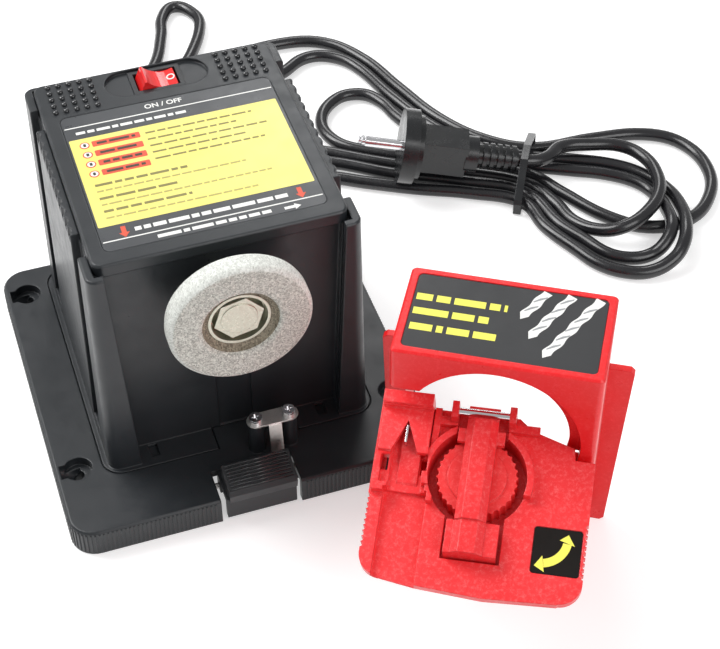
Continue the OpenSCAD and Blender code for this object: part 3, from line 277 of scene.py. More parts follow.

# %% [markdown]
# ## Colours of the drill module
# The frame is moulded in a strong red, and the knob in a lighter one. The table and its clamp bar are
# lighter still, with paler scuffs, which paints the sheen that their upward faces take from the light
# above. They are handled a lot, so pale scuffs lie over their colour. The labels are printed films that
# lie flat, so their finishes skip the bevel node, which would only cost time.

# %% Finishes of the drill module
module_red = scuffed("module red", (0.86, 0.011, 0.015), (0.74, 0.007, 0.009), (0.90, 0.070, 0.075), 0.32)
knob_red = scuffed("knob red", (0.90, 0.034, 0.036), (0.78, 0.018, 0.020), (0.95, 0.170, 0.165), 0.40)
# The table's lighter red and paler scuffs paint the sheen of the light above on its upward faces, over its
# wear.
table_sheen_red = scuffed("table red with painted sheen", (0.92, 0.034, 0.040), (0.80, 0.018, 0.022), (0.96, 0.220, 0.220), 0.36)
print_black = moulded("printed black", (0.062, 0.066, 0.071), (0.048, 0.051, 0.056), 0.32, edge=0.0)
module_black = moulded("module label black", (0.030, 0.031, 0.033), (0.022, 0.023, 0.025), 0.42, edge=0.0)
decal_black = moulded("decal black", (0.012, 0.010, 0.009), (0.008, 0.007, 0.006), 0.40, edge=0.0)
print_yellow = moulded("printed yellow", (0.88, 0.79, 0.22), (0.84, 0.73, 0.17), 0.34, edge=0.0)
ink_yellow = moulded("ink yellow", (0.90, 0.86, 0.12), (0.86, 0.80, 0.10), 0.40, edge=0.0)
ink_white = moulded("ink white", (0.85, 0.85, 0.82), (0.78, 0.78, 0.75), 0.45, edge=0.0)
ink_black = moulded("ink black", (0.05, 0.046, 0.03), (0.036, 0.034, 0.024), 0.45, edge=0.0)
ink_grey = moulded("ink grey", (0.46, 0.41, 0.13), (0.40, 0.35, 0.11), 0.45, edge=0.0)
ink_olive = moulded("ink olive", (0.26, 0.235, 0.08), (0.20, 0.18, 0.06), 0.45, edge=0.0)
flute_grey = moulded("flute grey", (0.34, 0.35, 0.36), (0.26, 0.27, 0.28), 0.45, edge=0.0)
ink_red = moulded("ink red", (0.72, 0.10, 0.05), (0.64, 0.08, 0.04), 0.40, edge=0.0)
MATT_SPECULAR = 0.15
decal_black.node_tree.nodes["Principled BSDF"].inputs["Specular IOR Level"].default_value = MATT_SPECULAR
print("finishes of the module made")

# %% [markdown]
# ## Grit
# A grinding wheel is pressed grit: bright and dark grains that stand out of the bond. Voronoi cells
# give each grain its own tone, and a strong noise bump makes the light catch on them. The same
# helper makes the flat face, the paler rim, which is partly worn and partly a painted highlight, and
# the dark brown recess, whose colour is painted shade.

# %% Grey abrasive grit
GRAINS_PER_METRE, PITS_PER_METRE = 1900, 1500


def abrasive(name, dark, bright, depth):
    """Grit: bright and dark grains about half a millimetre across, which stand proud."""
    middle = tuple((a + b) / 2 for a, b in zip(dark, bright))
    material, tree, shader = new_material(name, middle, 0.75)
    place = tree.nodes.new("ShaderNodeTexCoord")
    grains = tree.nodes.new("ShaderNodeTexVoronoi")
    grains.inputs["Scale"].default_value = GRAINS_PER_METRE
    link(tree, place.outputs["Object"], grains.inputs["Vector"])
    link(tree, ramp(tree, grains.outputs["Color"], dark, bright, 0.1, 0.9), shader.inputs["Base Color"])
    rough = object_noise(tree, PITS_PER_METRE, 5, 0.8)
    link(tree, ramp(tree, rough, 0.62, 0.90, 0.3, 0.7), shader.inputs["Roughness"])
    add_bump(tree, shader, rough, depth)
    return material


face_grit = abrasive("face grit", (0.34, 0.35, 0.315), (0.88, 0.90, 0.83), 0.0005)
# The rim's paler grit is partly a worn rim and partly a painted highlight; the recess's dark brown grit is
# painted shade.
lit_rim_grit = abrasive("rim grit with painted highlight", (0.56, 0.57, 0.53), (0.90, 0.92, 0.87), 0.0003)
shaded_recess_grit = abrasive("recess grit with painted shade", (0.12, 0.10, 0.07), (0.40, 0.36, 0.27), 0.0003)
print("grit made")

# %% [markdown]
# ## The mains cord
# The real cord is one length of round flex. It leaves the strain relief in the rear wall, turns once
# behind the tower, and then lies in long flat loops that a tie holds together. Where it passes over
# itself it rises in a low hump, and its last stretch goes into the plug. A simulation could lay it, but
# given points, in millimetres, put every loop where it belongs.

# %% Route of the cord
CORD_D = 6.2
ROUTE_MM = [
    (10, 84, 20), (11, 97, 19), (12, 112, 12.5), (14, 130, 5.5), (18, 155, 3.3), (25, 180, 3.3),
    (36, 200, 3.3), (48, 217, 3.3), (58, 238, 3.3), (58, 250, 3.3), (49.5, 259.5, 3.3), (41, 251, 3.3),
    (37, 237, 3.3), (28, 214, 3.3), (10, 190, 3.3), (-6, 160, 3.3), (-4, 128, 3.3), (22, 113, 3.3),
    (46, 119, 9.7), (66, 122, 4.5), (90, 112.5, 3.3), (115, 95.5, 3.3), (142, 81, 3.3),
    (168.8, 62.9, 3.3), (176, 37, 3.3), (182.5, 24, 3.3), (188.5, 12.5, 3.3), (196.5, 6.5, 3.3),
    (206.5, 5, 3.8), (214, 6.5, 7.5), (220, 13, 10.2), (224, 26, 8), (226, 41.5, 3.6), (222, 52.5, 3.3),
    (210.5, 63, 3.3), (194.5, 71.5, 3.3), (178.7, 80, 3.3), (156, 96, 3.3), (140.5, 113, 3.3),
    (131, 135, 3.3), (127, 149, 3.3), (119, 158, 3.3), (106, 157.5, 3.3), (94.5, 144, 3.3),
    (96, 127.5, 3.3), (108, 115.5, 3.3), (130, 102, 3.3), (153, 87, 3.3), (175.3, 74.3, 3.3),
    (185.5, 57, 3.3), (198, 36, 3.3), (213, 23, 3.3), (232, 21, 3.3), (248, 31, 3.3), (257.5, 50, 3.3),
    (254.5, 71.5, 3.3), (240, 84, 3.3), (214, 89, 3.3), (185.2, 91.5, 3.3), (165, 105, 3.3),
    (149.5, 128, 3.3), (139, 157, 3.3), (130, 184, 3.3), (115, 204, 3.3), (93, 210.5, 3.3),
    (64, 206, 3.3), (40, 190, 3.3), (31, 162, 3.3), (36, 134, 3.3), (54, 113, 3.3), (82, 104.5, 3.3),
    (102, 93, 3.3), (122, 82, 3.3), (145, 71, 3.3), (165.4, 57.2, 3.3), (169, 38, 3.3),
    (176.5, 19.5, 3.3), (182.5, 7, 3.3), (192, -1.5, 3.3), (203, -5, 3.8), (213.5, -3.5, 6.5),
    (220.5, 1.5, 9.5), (226.5, 11.5, 10.2), (231.5, 26, 7.5), (233, 43.5, 3.6), (226.5, 57.5, 3.3),
    (215.5, 68.5, 3.3), (199.5, 77.5, 3.3), (181.9, 85.8, 3.3), (161, 100, 3.3), (145.5, 121, 3.3),
    (133.5, 151, 3.3), (124, 181, 3.3), (113.5, 192.5, 3.3), (101, 194.5, 3.3), (88, 187, 3.3),
    (70, 179, 3.3), (58, 158, 3.3), (68, 137, 3.3), (93, 118.5, 3.3), (118, 101.5, 3.3),
    (146, 86.5, 3.3), (172.1, 68.6, 3.3), (179.5, 52, 3.3), (182.5, 37.5, 3.5), (190.5, 24.5, 6.5),
    (200.5, 20, 10), (213, 24.5, 11.3), (223.5, 34.5, 11.3), (229, 48.5, 10.4), (228.5, 62, 10),
    (221.5, 72.5, 10), (208, 77.5, 10.6), (193, 78.5, 12.2), (184, 72.5, 13.4), (175.5, 70.7, 14.6),
    (164.2, 74.2, 16.3),
]
route = [Vector(p) * MM for p in ROUTE_MM]
print("points of the route:", len(route))

# %% [markdown]
# ## Curve of the cord
# Round flex keeps its thickness and bends smoothly. A swept mesh could show that, but one open curve
# with a round bevel is shorter and stays a curve. Automatic handles would dip below the bench beside a
# hump, so each handle follows its neighbours and is level wherever the cord lies.

# %% Curve of the cord
LYING_Z, HANDLE_SHARE = 0.0034, 0.37
cord_curve = bpy.data.curves.new("power_cord", "CURVE")
cord_curve.dimensions = "3D"
cord_curve.bevel_depth = CORD_D / 2 * MM
cord_curve.bevel_resolution = 5
cord_curve.resolution_u = 6
cord_curve.use_fill_caps = True
spline = cord_curve.splines.new("BEZIER")
spline.bezier_points.add(len(route) - 1)
for i, (point, place) in enumerate(zip(spline.bezier_points, route)):
    before, after = route[max(i - 1, 0)], route[min(i + 1, len(route) - 1)]
    heading = (after - before).normalized()
    if place.z < LYING_Z:
        heading.z = 0
    point.co = place
    point.handle_left_type = point.handle_right_type = "FREE"
    point.handle_left = place - heading * (place - before).length * HANDLE_SHARE
    point.handle_right = place + heading * (after - place).length * HANDLE_SHARE
cord = bpy.data.objects.new("power_cord", cord_curve)
scene.collection.objects.link(cord)

# %% [markdown]
# ## Finish of the cord
# The jacket is smooth soft plastic with a slight shine: a faint grain under a thin coat. The curve takes
# the place of the plain CAD cord.

# %% Finish of the cord
cord_black = moulded("cord black", (0.015, 0.015, 0.017), (0.010, 0.010, 0.012), 0.24, edge=0.0, grain=900,
                     grain_depth=0.000004, coat=0.2)
cord_curve.materials.append(cord_black)
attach(cord, "power_unit")
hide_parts("mains_cord")

# %% [markdown]
# ## Finishes on the CAD parts
# The CAD parts keep their shape: they are what fits, moves and carries load. Each takes a finish by
# its name, so a table of names is clearer here than a line for every part.

# %% Give every CAD part its finish
finishes = {
    case_black: ["base_plate", "tower_housing", "top_cover"],
    trim_black: ["bottom_cover", "latch_lever", "switch_body", "motor_end_cap", "cooling_fan",
                 "cord_gland"],
    cable_black: ["cord_tie", "plug_body"],
    foot_rubber: ["rubber_feet"],
    print_black: ["rating_label"],
    module_black: ["module_label"],
    decal_black: ["table_decal"],
    rocker_red: ["switch_rocker"],
    polished: ["latch_spring_screws", "clamp_pin", "gauge_finger", "plug_pins"],
    nickel: ["latch_spring"],
    hub_steel: ["wheel_bolt", "wheel_hub"],
    turned: ["latch_pivot_pin", "motor_shaft", "front_bearing", "rear_bearing",
             "housing_screws", "cover_screws", "motor_screws", "table_pivot", "pivot_washer",
             "knob_screw"],
    zinc: ["motor_can"],
    magnet: ["motor_magnets"],
    enamel: ["motor_armature"],
    copper: ["motor_commutator"],
    carbon: ["motor_brushes"],
    face_grit: ["grinding_wheel"],
    board_green: ["rectifier_board"],
    blue_case: ["noise_capacitor"],
    lead_brown: ["switch_leads"],
    module_red: ["module_frame"],
    table_sheen_red: ["swing_table", "drill_gauge", "clamp_bar"],
    knob_red: ["clamp_knob"],
    cord_black: ["mains_cord"],
}
for material, names in finishes.items():
    for name in names:
        nodes[name].data.materials.clear()
        nodes[name].data.materials.append(material)
print("finished", sum(len(names) for names in finishes.values()), "of", len(nodes), "CAD parts")

# %% [markdown]
# ## The grinding wheel
# The wheel is a thick ring of grit with a rounded lip round its recess. It could be bevelled from a
# cylinder, but a section spun about the spindle gives every radius its own rounding. The section is
# in millimetres, as pairs of a radius and a place along the spindle. Three finishes tell its parts
# apart: a paler band round the rim, partly worn and partly a painted highlight, the flat speckled face,
# and the recess round the hub, painted dark for the shade inside it.

# %% Spin the wheel
SPINDLE_Z = 92.8
RIM_FROM, RECESS_TO, RECESS_FROM_Y, WHEEL_STEPS = 25.6, 14.6, -55, 96
wheel_section = [
    (12.0, -60.6), (12.0, -54.0), (24.8, -54.0), (26.2, -54.5), (27.1, -55.5), (27.5, -57.0), (27.5, -62.0),
    (27.3, -62.6), (26.4, -63.6), (25.9, -63.95), (25.2, -64.0), (17.0, -64.0), (16.0, -63.85),
    (15.2, -63.4), (14.7, -62.7), (14.3, -61.8), (13.8, -60.6),
]
bm = bmesh.new()
ring = [bm.verts.new((r, y, 0)) for r, y in wheel_section]
edges = [bm.edges.new((a, b)) for a, b in zip(ring, ring[1:] + ring[:1])]
bmesh.ops.spin(bm, geom=ring + edges, cent=(0, 0, 0), axis=(0, 1, 0), angle=2 * math.pi,
               steps=WHEEL_STEPS, use_merge=True)
# Faces beyond RIM_FROM get the paler grit, partly a painted highlight; faces deep in the recess get the dark
# grit, which paints its shade.
for face in bm.faces:
    middle = face.calc_center_median()
    radius = math.hypot(middle.x, middle.z)
    inside = radius < RECESS_TO and middle.y < RECESS_FROM_Y
    face.material_index = 1 if radius > RIM_FROM else 2 if inside else 0
wheel = finish_mesh("grinding_ring", bm, Matrix.Translation((0, 0, SPINDLE_Z * MM)), face_grit, "rotor")
wheel.data.materials.append(lit_rim_grit)
wheel.data.materials.append(shaded_recess_grit)
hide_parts("grinding_wheel")
print("wheel faces:", len(wheel.data.polygons))

# %% [markdown]
# ## Ribs of the base skirt
# The skirt of the base carries fine upright ribs all the way round, apart from the notch for the
# latch. Each is a small bar whose back sinks into the wall, laid along the sides and then fanned round
# the corners. A bump would be lighter, but bars catch the light singly and show in the outline.

# %% Ribs of the base skirt
HALF_W, HALF_D, CORNER_R = 75, 77, 10
RIB_PITCH, RIB_WIDTH, RIB_PROUD = 1.7, 0.8, 0.25
RIB_LOW, RIB_HIGH = 0.6, 11.2
NOTCH_HALF = 17.5
CORNER_RIBS, CORNER_STEP = 8, 10


def lay_rib(bm, x, y, heading):
    """Adds one upright rib whose back sinks into the wall. Heading is the wall's outward direction."""
    made = bmesh.ops.create_cube(bm, size=1)["verts"]
    bmesh.ops.scale(bm, vec=(RIB_PROUD * 2, RIB_WIDTH, RIB_HIGH - RIB_LOW), verts=made)
    bmesh.ops.rotate(bm, matrix=Matrix.Rotation(heading, 3, "Z"), verts=made)
    bmesh.ops.translate(bm, vec=(x, y, (RIB_LOW + RIB_HIGH) / 2), verts=made)


def along(half):
    """Places of the ribs along a straight side that reaches from -half to half."""
    steps = int(2 * half / RIB_PITCH)
    return [-half + 2 * half * i / steps for i in range(steps + 1)]


spots = []
for side in (-1, 1):
    for x in along(HALF_W - CORNER_R):
        if side > 0 or abs(x) > NOTCH_HALF:
            spots.append((x, side * HALF_D, side * math.pi / 2))
    for y in along(HALF_D - CORNER_R):
        spots.append((side * HALF_W, y, 0 if side > 0 else math.pi))
for quarter in range(4):
    x = (HALF_W - CORNER_R) * (1 if quarter in (0, 3) else -1)
    y = (HALF_D - CORNER_R) * (1 if quarter in (0, 1) else -1)
    for i in range(1, CORNER_RIBS + 1):
        heading = math.radians(90 * quarter + CORNER_STEP * i)
        spots.append((x + CORNER_R * math.cos(heading), y + CORNER_R * math.sin(heading), heading))

bm = bmesh.new()
for x, y, heading in spots:
    lay_rib(bm, x, y, heading)
finish_mesh("skirt_ribs", bm, UPRIGHT, case_black, "power_unit", False)
print("ribs on the skirt:", len(spots))

# %% [markdown]
# ## Ribs of the latch pad
# The thumb pad of the latch has round ribs between the grooves that the CAD part has. They could be
# cut into the lever, but rods that sink half into the pad are simpler. They ride on the latch, so they
# tip with it.

# %% Ribs of the latch pad
PAD_LEFT, PAD_RIGHT, PAD_BACK, PAD_TOP, PAD_FALL = -12.0, 13.2, -66.2, 20.5, 0.278
PAD_RIBS, PAD_RIB_PITCH, PAD_RIB_R = 8, 1.42, 0.42
PAD_RIB_SIDES = 14
bm = bmesh.new()
for i in range(PAD_RIBS):
    back = PAD_RIB_PITCH * (i + 0.5)
    made = bmesh.ops.create_cone(bm, cap_ends=True, segments=PAD_RIB_SIDES, radius1=PAD_RIB_R,
                                 radius2=PAD_RIB_R, depth=PAD_RIGHT - PAD_LEFT)["verts"]
    bmesh.ops.rotate(bm, matrix=Matrix.Rotation(math.pi / 2, 3, "Y"), verts=made)
    middle = ((PAD_LEFT + PAD_RIGHT) / 2, PAD_BACK - back, PAD_TOP - back * PAD_FALL)
    bmesh.ops.translate(bm, vec=middle, verts=made)
finish_mesh("latch_pad_ribs", bm, UPRIGHT, stud_black, "latch")
print("ribs on the latch pad:", PAD_RIBS)

# %% [markdown]
# ## Studs of the cover
# Two patches of grip studs rise from the cover, and each stud ends in a small glossy dome. A rounded
# cylinder would do, but a flattened ball that sinks into the stud gives the same dome with one call.

# %% Domes on the cover's studs
STUD_R, DOME_HIGH, STUD_TOP, DOME_SIDES = 1.25, 0.95, 117.6, 14
PATCH_X, PATCH_Y, STUD_PITCH_X, STUD_PITCH_Y = 34.4, 55.7, 4.2, 4.1
PATCH_STEPS = range(-2, 3)
bm = bmesh.new()
for side in (-1, 1):
    for i in PATCH_STEPS:
        for j in PATCH_STEPS:
            made = bmesh.ops.create_uvsphere(bm, u_segments=DOME_SIDES, v_segments=DOME_SIDES // 2,
                                             radius=1)["verts"]
            bmesh.ops.scale(bm, vec=(STUD_R, STUD_R, DOME_HIGH), verts=made)
            place = (side * PATCH_X + i * STUD_PITCH_X, PATCH_Y + j * STUD_PITCH_Y, STUD_TOP)
            bmesh.ops.translate(bm, vec=place, verts=made)
finish_mesh("stud_domes", bm, UPRIGHT, stud_black, "power_unit")
print("domes on the cover:", 2 * len(PATCH_STEPS) ** 2)

# %% [markdown]
# ## Prints on the labels
# The prints are thin plates of ink that lie on the label films, each a closed prism. They could be
# painted with a texture, but plates stay sharp and need no picture file. Where the real labels carry
# sentences, these carry plain dashes of the same height. Their lengths come from one seeded generator,
# so every run draws the same rows.

# %% Helpers for flat prints
INK_THICK = 0.06
POINT_GAP = 0.01
SHORTEST_DASH = 2.0


def prism(bm, outline, z):
    """Adds a closed prism as thick as ink over a 2D outline in millimetres."""
    base = bm.faces.new([bm.verts.new((x, y, z)) for x, y in outline])
    top = bmesh.ops.extrude_face_region(bm, geom=[base])["geom"]
    raised = [v for v in top if isinstance(v, bmesh.types.BMVert)]
    bmesh.ops.translate(bm, vec=(0, 0, INK_THICK), verts=raised)


def rectangle(x0, y0, x1, y1):
    """Corners of a rectangle."""
    return [(x0, y0), (x1, y0), (x1, y1), (x0, y1)]


def round_rectangle(x0, y0, x1, y1, r, steps=6):
    """Outline of a rectangle with corners of radius r."""
    outline = []
    corners = ((x1 - r, y1 - r, 0), (x0 + r, y1 - r, 90), (x0 + r, y0 + r, 180), (x1 - r, y0 + r, 270))
    for cx, cy, turn in corners:
        for i in range(steps + 1):
            angle = math.radians(turn + 90 * i / steps)
            outline.append((cx + r * math.cos(angle), cy + r * math.sin(angle)))
    return outline


def disc(x, y, r):
    """Outline of a disc: a square with corners just short of its half, so that no point is doubled."""
    return round_rectangle(x - r, y - r, x + r, y + r, r - POINT_GAP)


def dashes(bm, x0, x1, y, height, z, rng, gap=0.9, longest=6):
    """A row of word-long dashes."""
    x = x0
    while x < x1 - 1:
        end = min(x1, x + rng.uniform(SHORTEST_DASH, longest))
        prism(bm, rectangle(x, y - height / 2, end, y + height / 2), z)
        x = end + gap


LABEL_Z = 117.2
FIELD_TOP = LABEL_Z + INK_THICK
rng = random.Random(7)
print("the label lies at", LABEL_Z, "mm")

# %% [markdown]
# ## Label of the power unit
# The cover carries a black film with a yellow field. Above and below the field are white rules, lines
# of text and an arrow, and in it a column of white discs. Ink of one colour could be many pieces, but
# one mesh for each colour keeps the list of pieces short.

# %% Yellow field and white ink
FIELD_LEFT, FIELD_RIGHT, FIELD_FRONT, FIELD_BACK, FIELD_R = -41.6, 41.2, -23, 29, 0.6
RULE_ROWS, RULE_END, RULE_HALF = (36.4, -31.2), 41.7, 0.28
ICON_ROWS, ICON_X, DISC_R, RING_R = (24.6, 18.8, 13.0, 7.2), -36.3, 1.5, 1.95
DISC_LIFT = 0.03
WHITE_LINES = ((-38, 6, 32.6, 1.5, 7), (-29, 30, -27.4, 2.0, 9), (-22, 21, -34.0, 1.7, 9))
WHITE_ARROW = [(26, -35.0), (30, -35.0), (30, -35.9), (32.4, -34.3), (30, -32.7), (30, -33.6), (26, -33.6)]
bm = bmesh.new()
prism(bm, round_rectangle(FIELD_LEFT, FIELD_FRONT, FIELD_RIGHT, FIELD_BACK, FIELD_R), LABEL_Z)
finish_mesh("label_yellow_field", bm, UPRIGHT, print_yellow, "power_unit", False)

bm = bmesh.new()
for y in RULE_ROWS:
    prism(bm, rectangle(-RULE_END, y - RULE_HALF, RULE_END, y + RULE_HALF), LABEL_Z)
for start, end, y, height, longest in WHITE_LINES:
    dashes(bm, start, end, y, height, LABEL_Z, rng, longest=longest)
prism(bm, WHITE_ARROW, LABEL_Z)
for y in ICON_ROWS:
    prism(bm, disc(ICON_X, y, DISC_R), FIELD_TOP + DISC_LIFT)
finish_mesh("label_white_ink", bm, UPRIGHT, ink_white, "power_unit", False)
print("yellow field and white ink printed")

# %% [markdown]
# ## Red ink of the label
# Two arrows point from the field to the front edge. In the field, a red box and a ring mark each of
# four rows. Rings are whole discs: the white discs lie a little higher and leave a red rim, which saves
# cutting holes.

# %% Red ink of the label
ARROW_PLACES, ARROW_HALF, ARROW_WIDE = (-33.0, 34.2), 0.9, 2.0
ARROW_TOP, ARROW_NECK, ARROW_TIP = -24.6, -28, -30.6
BOX_LEFT, BOX_RIGHT, BOX_HALF, BOX_R = -33.4, -14.6, 1.7, 0.5
bm = bmesh.new()
for x in ARROW_PLACES:
    prism(bm, [(x - ARROW_HALF, ARROW_TOP), (x - ARROW_HALF, ARROW_NECK), (x - ARROW_WIDE, ARROW_NECK),
               (x, ARROW_TIP), (x + ARROW_WIDE, ARROW_NECK), (x + ARROW_HALF, ARROW_NECK),
               (x + ARROW_HALF, ARROW_TOP)], LABEL_Z)
for y in ICON_ROWS:
    prism(bm, round_rectangle(BOX_LEFT, y - BOX_HALF, BOX_RIGHT, y + BOX_HALF, BOX_R), FIELD_TOP)
    prism(bm, disc(ICON_X, y, RING_R), FIELD_TOP)
finish_mesh("label_red_ink", bm, UPRIGHT, ink_red, "power_unit", False)
print("red ink printed")

# %% [markdown]
# ## Small text of the label
# The smallest printing can't be read from where a label is looked at. Letters could be set, but they
# would need wording, so rows of dashes in three inks give the same darkness as lines of text.

# %% Dark, olive and grey text of the label
BOX_TEXT_LEFT, BOX_TEXT_RIGHT, BOX_TEXT_HEIGHT = -31.5, -16.5, 1.2
SIGN_LEFT, SIGN_RIGHT, SIGN_HALF, SIGN_LIFT = -36.8, -35.8, 0.8, 0.09
SIDE_LEFT, SIDE_HEIGHT = -12.4, 0.9
SIDE_ROWS = ((24.6, 30), (20.6, 24), (16.6, 34), (12.6, 26), (8.6, 31))
TEXT_LEFT, HEADING_HEIGHT, FINE_HEIGHT = -37.6, 1.3, 0.8
HEADING_ROWS, FINE_ROWS = ((0.4, -2), (-7.4, -6), (-14.8, -4)), ((-3.2, 20), (-11.0, 28), (-18.6, 22))
bm = bmesh.new()
for y in ICON_ROWS:
    dashes(bm, BOX_TEXT_LEFT, BOX_TEXT_RIGHT, y, BOX_TEXT_HEIGHT, FIELD_TOP + INK_THICK, rng, 1.0, 12)
    prism(bm, rectangle(SIGN_LEFT, y - SIGN_HALF, SIGN_RIGHT, y + SIGN_HALF), FIELD_TOP + SIGN_LIFT)
finish_mesh("label_black_ink", bm, UPRIGHT, ink_black, "power_unit", False)

bm = bmesh.new()
for y, end in SIDE_ROWS:
    dashes(bm, SIDE_LEFT, end, y, SIDE_HEIGHT, FIELD_TOP, rng)
for y, end in HEADING_ROWS:
    dashes(bm, TEXT_LEFT, end, y, HEADING_HEIGHT, FIELD_TOP, rng, 1.0, 8)
finish_mesh("label_olive_ink", bm, UPRIGHT, ink_olive, "power_unit", False)

bm = bmesh.new()
for y, end in FINE_ROWS:
    dashes(bm, TEXT_LEFT, end, y, FINE_HEIGHT, FIELD_TOP, rng, 0.7, 5)
finish_mesh("label_grey_ink", bm, UPRIGHT, ink_grey, "power_unit", False)
print("power unit's label printed")

# %% [markdown]
# ## Lettering of the switch
# Two white words are printed on the cover in front of the switch. Letters could be drawn as outlines,
# but a text curve has them ready. It becomes a mesh before it is put in place, so it keeps its object
# at the origin as the other prints do.

# %% Lettering of the switch
BOLDER = 0.018


def lettering(name, text, size, place, material, body):
    """A line of letters as a mesh that stands on a surface."""
    curve = bpy.data.curves.new(name, "FONT")
    curve.body = text
    curve.size = size * MM
    curve.align_x = "CENTER"
    curve.align_y = "CENTER"
    curve.extrude = INK_THICK * MM / 2
    curve.offset = size * MM * BOLDER
    writer = bpy.data.objects.new(name + "_writer", curve)
    scene.collection.objects.link(writer)
    mesh = bpy.data.meshes.new_from_object(writer)
    bpy.data.objects.remove(writer)
    mesh.name = name
    mesh.transform(place)
    mesh.materials.clear()
    mesh.materials.append(material)
    piece = bpy.data.objects.new(name, mesh)
    scene.collection.objects.link(piece)
    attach(piece, body)


lettering("switch_lettering", "ON / OFF", 3.6, Matrix.Translation((-0.0015, 0.0402, 0.11723)),
          ink_white, "power_unit")
print("switch lettered")

# %% [markdown]
# ## Ring on the rocker
# A white ring marks the off side of the rocker's hollow top. It is two circles, bridged and given a
# thickness: a solid ring keeps a sharp edge where a texture would blur. The ring is drawn in the
# rocker's own frame and rides on it.

# %% Ring on the rocker
HINGE_PLACE, ROCKER_REST = (0, 0.0573, 0.1133), math.radians(16)
MARK_X, MARK_Z, MARK_TILT = 4.8, 4.2, math.radians(-26)
MARK_RADII, MARK_STEPS, MARK_THICK = (1.75, 1.2), 28, 0.24
hinge = Matrix.Translation(HINGE_PLACE) @ Matrix.Rotation(ROCKER_REST, 4, "Y")
bm = bmesh.new()
for radius in MARK_RADII:
    bmesh.ops.create_circle(bm, cap_ends=False, segments=MARK_STEPS, radius=radius)
bmesh.ops.bridge_loops(bm, edges=bm.edges[:])
bmesh.ops.solidify(bm, geom=bm.faces[:], thickness=MARK_THICK)
bmesh.ops.rotate(bm, cent=(0, 0, 0), matrix=Matrix.Rotation(MARK_TILT, 3, "Y"), verts=bm.verts)
bmesh.ops.translate(bm, vec=(MARK_X, 0, MARK_Z), verts=bm.verts)
finish_mesh("rocker_ring_mark", bm, hinge, ink_white, "rocker", False)
print("ring marked on the rocker")

# %% [markdown]
# ## Label of the drill module
# The top of the module carries a black film with three lines of bold yellow lettering. The lines are
# dashes as high as those letters, which keeps the weight of the lettering without its wording.

# %% Yellow lines of the module's label
LABEL_MODULE_Z = 116.25
BOLD_ROWS, BOLD_HEIGHT = ((27.9, -32.8, -0.5), (20.8, -32.8, -4.4), (13.2, -32.6, -2.4)), 3.2
bm = bmesh.new()
for y, start, end in BOLD_ROWS:
    dashes(bm, start, end, y, BOLD_HEIGHT, LABEL_MODULE_Z, rng, 1.4, 13)
finish_mesh("module_yellow_ink", bm, in_module, ink_yellow, "drill_module", False)
print("yellow lines printed")

# %% [markdown]
# ## Twist drills of the module's label
# Three white drills of different lengths lean at the right of the film. A texture could show them, but
# a drill is easily drawn as one waved outline. Its two edges swell out of step, which reads as a
# twisted body, and a slanted dark line stands for each flute.

# %% Twist drills of the module's label
DRILL_WIDTH, DRILL_LEAN, TWIST_PITCH = 4.0, math.radians(-27.5), 2.1
SHOULDER, TIP = 0.9, 0.5
WAVE_MEAN, WAVE_SWELL, WAVE_SHIFT = 0.86, 0.16, 1.9
FLUTE_FIRST, FLUTE_EVERY, FLUTE_LONG = 1.6, 0.66, 0.62
DRILLS = ((4.9, 24.9, 15.6), (9.1, 16.0, 25.6), (15.0, 8.1, 34.6))


def twist_drill(body, flutes, x, y, length):
    """Adds a drill seen from the side: its waved, pointed body and the dark lines of its flutes."""
    turn = Matrix.Rotation(DRILL_LEAN, 2)
    half = DRILL_WIDTH / 2
    pitch = DRILL_WIDTH * TWIST_PITCH
    steps = int(length)
    left, right = [], []
    for i in range(steps + 1):
        s = half * SHOULDER + (length - half * SHOULDER) * i / steps
        wave = 2 * math.pi * s / pitch
        left.append((-half * (WAVE_MEAN + WAVE_SWELL * math.sin(wave)), s))
        right.append((half * (WAVE_MEAN + WAVE_SWELL * math.sin(wave + WAVE_SHIFT)), s))
    shapes = [(body, [(0, -half * TIP)] + right + left[::-1])]
    start = half * FLUTE_FIRST
    while start + pitch * FLUTE_LONG < length:
        # The corners of one dark line, as shares of the half width and of the pitch.
        groove = [(-half * 0.72, start), (-half * 0.5, start - 0.1), (half * 0.74, start + pitch * 0.52),
                  (half * 0.66, start + pitch * 0.60), (-half * 0.2, start + pitch * 0.34)]
        shapes.append((flutes, groove))
        start += pitch * FLUTE_EVERY
    for bm, shape in shapes:
        outline = [(Vector((x, y)) + turn @ Vector(p))[:] for p in shape]
        prism(bm, outline, LABEL_MODULE_Z if bm is body else LABEL_MODULE_Z + INK_THICK)


body, flutes = bmesh.new(), bmesh.new()
for x, y, length in DRILLS:
    twist_drill(body, flutes, x, y, length)
finish_mesh("module_white_ink", body, in_module, ink_white, "drill_module", False)
finish_mesh("module_flute_ink", flutes, in_module, flute_grey, "drill_module", False)
print("module's label printed")

# %% [markdown]
# ## Decal of the swing table
# A black square on the table shows which way it swings, with a yellow arc that ends in two arrowheads.
# A curve could be swept for it, but a prism between two radii and two triangles are all it takes.

# %% Decal of the swing table
ARC_X, ARC_Y, ARC_IN, ARC_OUT = 21.8, -34.0, 7.7, 10.7
ARC_ANGLES = range(-80, -7, 6)
ARROWHEADS = ([(20.3, -44.2), (23.95, -46.2), (22.8, -40.4)], [(31.05, -32.0), (28.1, -34.2), (33.5, -35.9)])
DECAL_TOP = -0.1


def arc(radius, angles):
    """Points of an arc round a corner of the decal, at angles in degrees."""
    return [(ARC_X + radius * math.cos(math.radians(a)), ARC_Y + radius * math.sin(math.radians(a)))
            for a in angles]


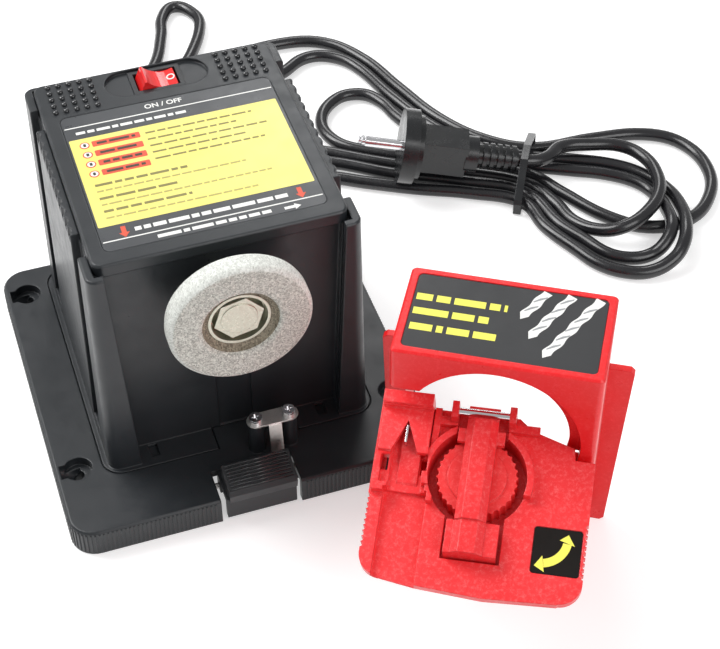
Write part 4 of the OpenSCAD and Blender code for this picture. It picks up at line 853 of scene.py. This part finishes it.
bm = bmesh.new()
prism(bm, arc(ARC_OUT, ARC_ANGLES) + arc(ARC_IN, ARC_ANGLES[::-1]), DECAL_TOP)
for head in ARROWHEADS:
    prism(bm, head, DECAL_TOP)
finish_mesh("decal_arrow", bm, on_table, ink_yellow, "table", False)
print("decal printed")

# %% [markdown]
# ## Bench
# The machine stands on a plain pale bench. It could be lit until it is white, but its soft shadows
# would go too. Instead it glows a little to the camera and to glossy parts, so it reads as white and
# keeps them.

# %% Bench
BENCH_HALF, BENCH_DROP, BENCH_GLOW = 3, 0.0002, 0.48
bench_mesh = bpy.data.meshes.new("bench")
bm = bmesh.new()
bmesh.ops.create_grid(bm, x_segments=1, y_segments=1, size=BENCH_HALF)
bm.to_mesh(bench_mesh)
bm.free()
bench = bpy.data.objects.new("bench", bench_mesh)
bench.location = (0, 0, -BENCH_DROP)
scene.collection.objects.link(bench)
bench_white, tree, shader = new_material("bench white", (0.74, 0.74, 0.74), 0.7, specular=0.2)
path = tree.nodes.new("ShaderNodeLightPath")
seen = tree.nodes.new("ShaderNodeMath")
seen.operation = "MAXIMUM"
link(tree, path.outputs["Is Camera Ray"], seen.inputs[0])
link(tree, path.outputs["Is Glossy Ray"], seen.inputs[1])
lift = tree.nodes.new("ShaderNodeMath")
lift.operation = "MULTIPLY"
lift.inputs[1].default_value = BENCH_GLOW
link(tree, seen.outputs[0], lift.inputs[0])
shader.inputs["Emission Color"].default_value = (1, 1, 1, 1)
link(tree, lift.outputs[0], shader.inputs["Emission Strength"])
bench_mesh.materials.append(bench_white)
print("bench made")

# %% [markdown]
# ## World
# The space round the bench looks white, but it mustn't wash out the dark parts. A backdrop could be
# built. A light path node is simpler: it shows full white to the camera and gives every other ray less
# than half of it.

# %% World
WORLD_LIGHT, WORLD_SEEN = 0.45, 1.0
world = bpy.data.worlds.new("studio")
scene.world = world
world.use_nodes = True
tree = world.node_tree
background = tree.nodes["Background"]
path = tree.nodes.new("ShaderNodeLightPath")
strength = tree.nodes.new("ShaderNodeMapRange")
strength.inputs["To Min"].default_value = WORLD_LIGHT
strength.inputs["To Max"].default_value = WORLD_SEEN
link(tree, path.outputs["Is Camera Ray"], strength.inputs["Value"])
link(tree, strength.outputs["Result"], background.inputs["Strength"])
background.inputs["Color"].default_value = (1, 1, 1, 1)
print("world made")

# %% [markdown]
# ## Lamps
# Small lamps would leave hard shadows and hot spots on the glossy plastic, so the light comes from large
# soft boxes. The key stands behind the machine at the left and the fill in front at the right. Two
# smaller ones behind draw the bright lines on the cord and the edges.

# %% Lamps
def softbox(name, place, target, size, power):
    """A square area lamp that faces a point."""
    data = bpy.data.lights.new(name, "AREA")
    data.shape = "SQUARE"
    data.size = size
    data.energy = power
    lamp = bpy.data.objects.new(name, data)
    lamp.location = place
    lamp.rotation_euler = (Vector(target) - Vector(place)).to_track_quat("-Z", "Y").to_euler()
    scene.collection.objects.link(lamp)


softbox("key", (-0.5, 0.5, 1.1), (0.05, 0, 0.05), 0.7, 10.5)
softbox("edge light", (-0.75, 0.55, 0.75), (0.10, 0.05, 0.05), 0.40, 3.6)
softbox("back light", (0.45, 1.1, 0.9), (0.15, 0.05, 0.05), 0.45, 3.0)
softbox("fill", (0.5, -0.9, 0.8), (0.05, -0.05, 0.05), 0.8, 6.5)
scene.view_settings.view_transform = "Standard"
print("lamps made")
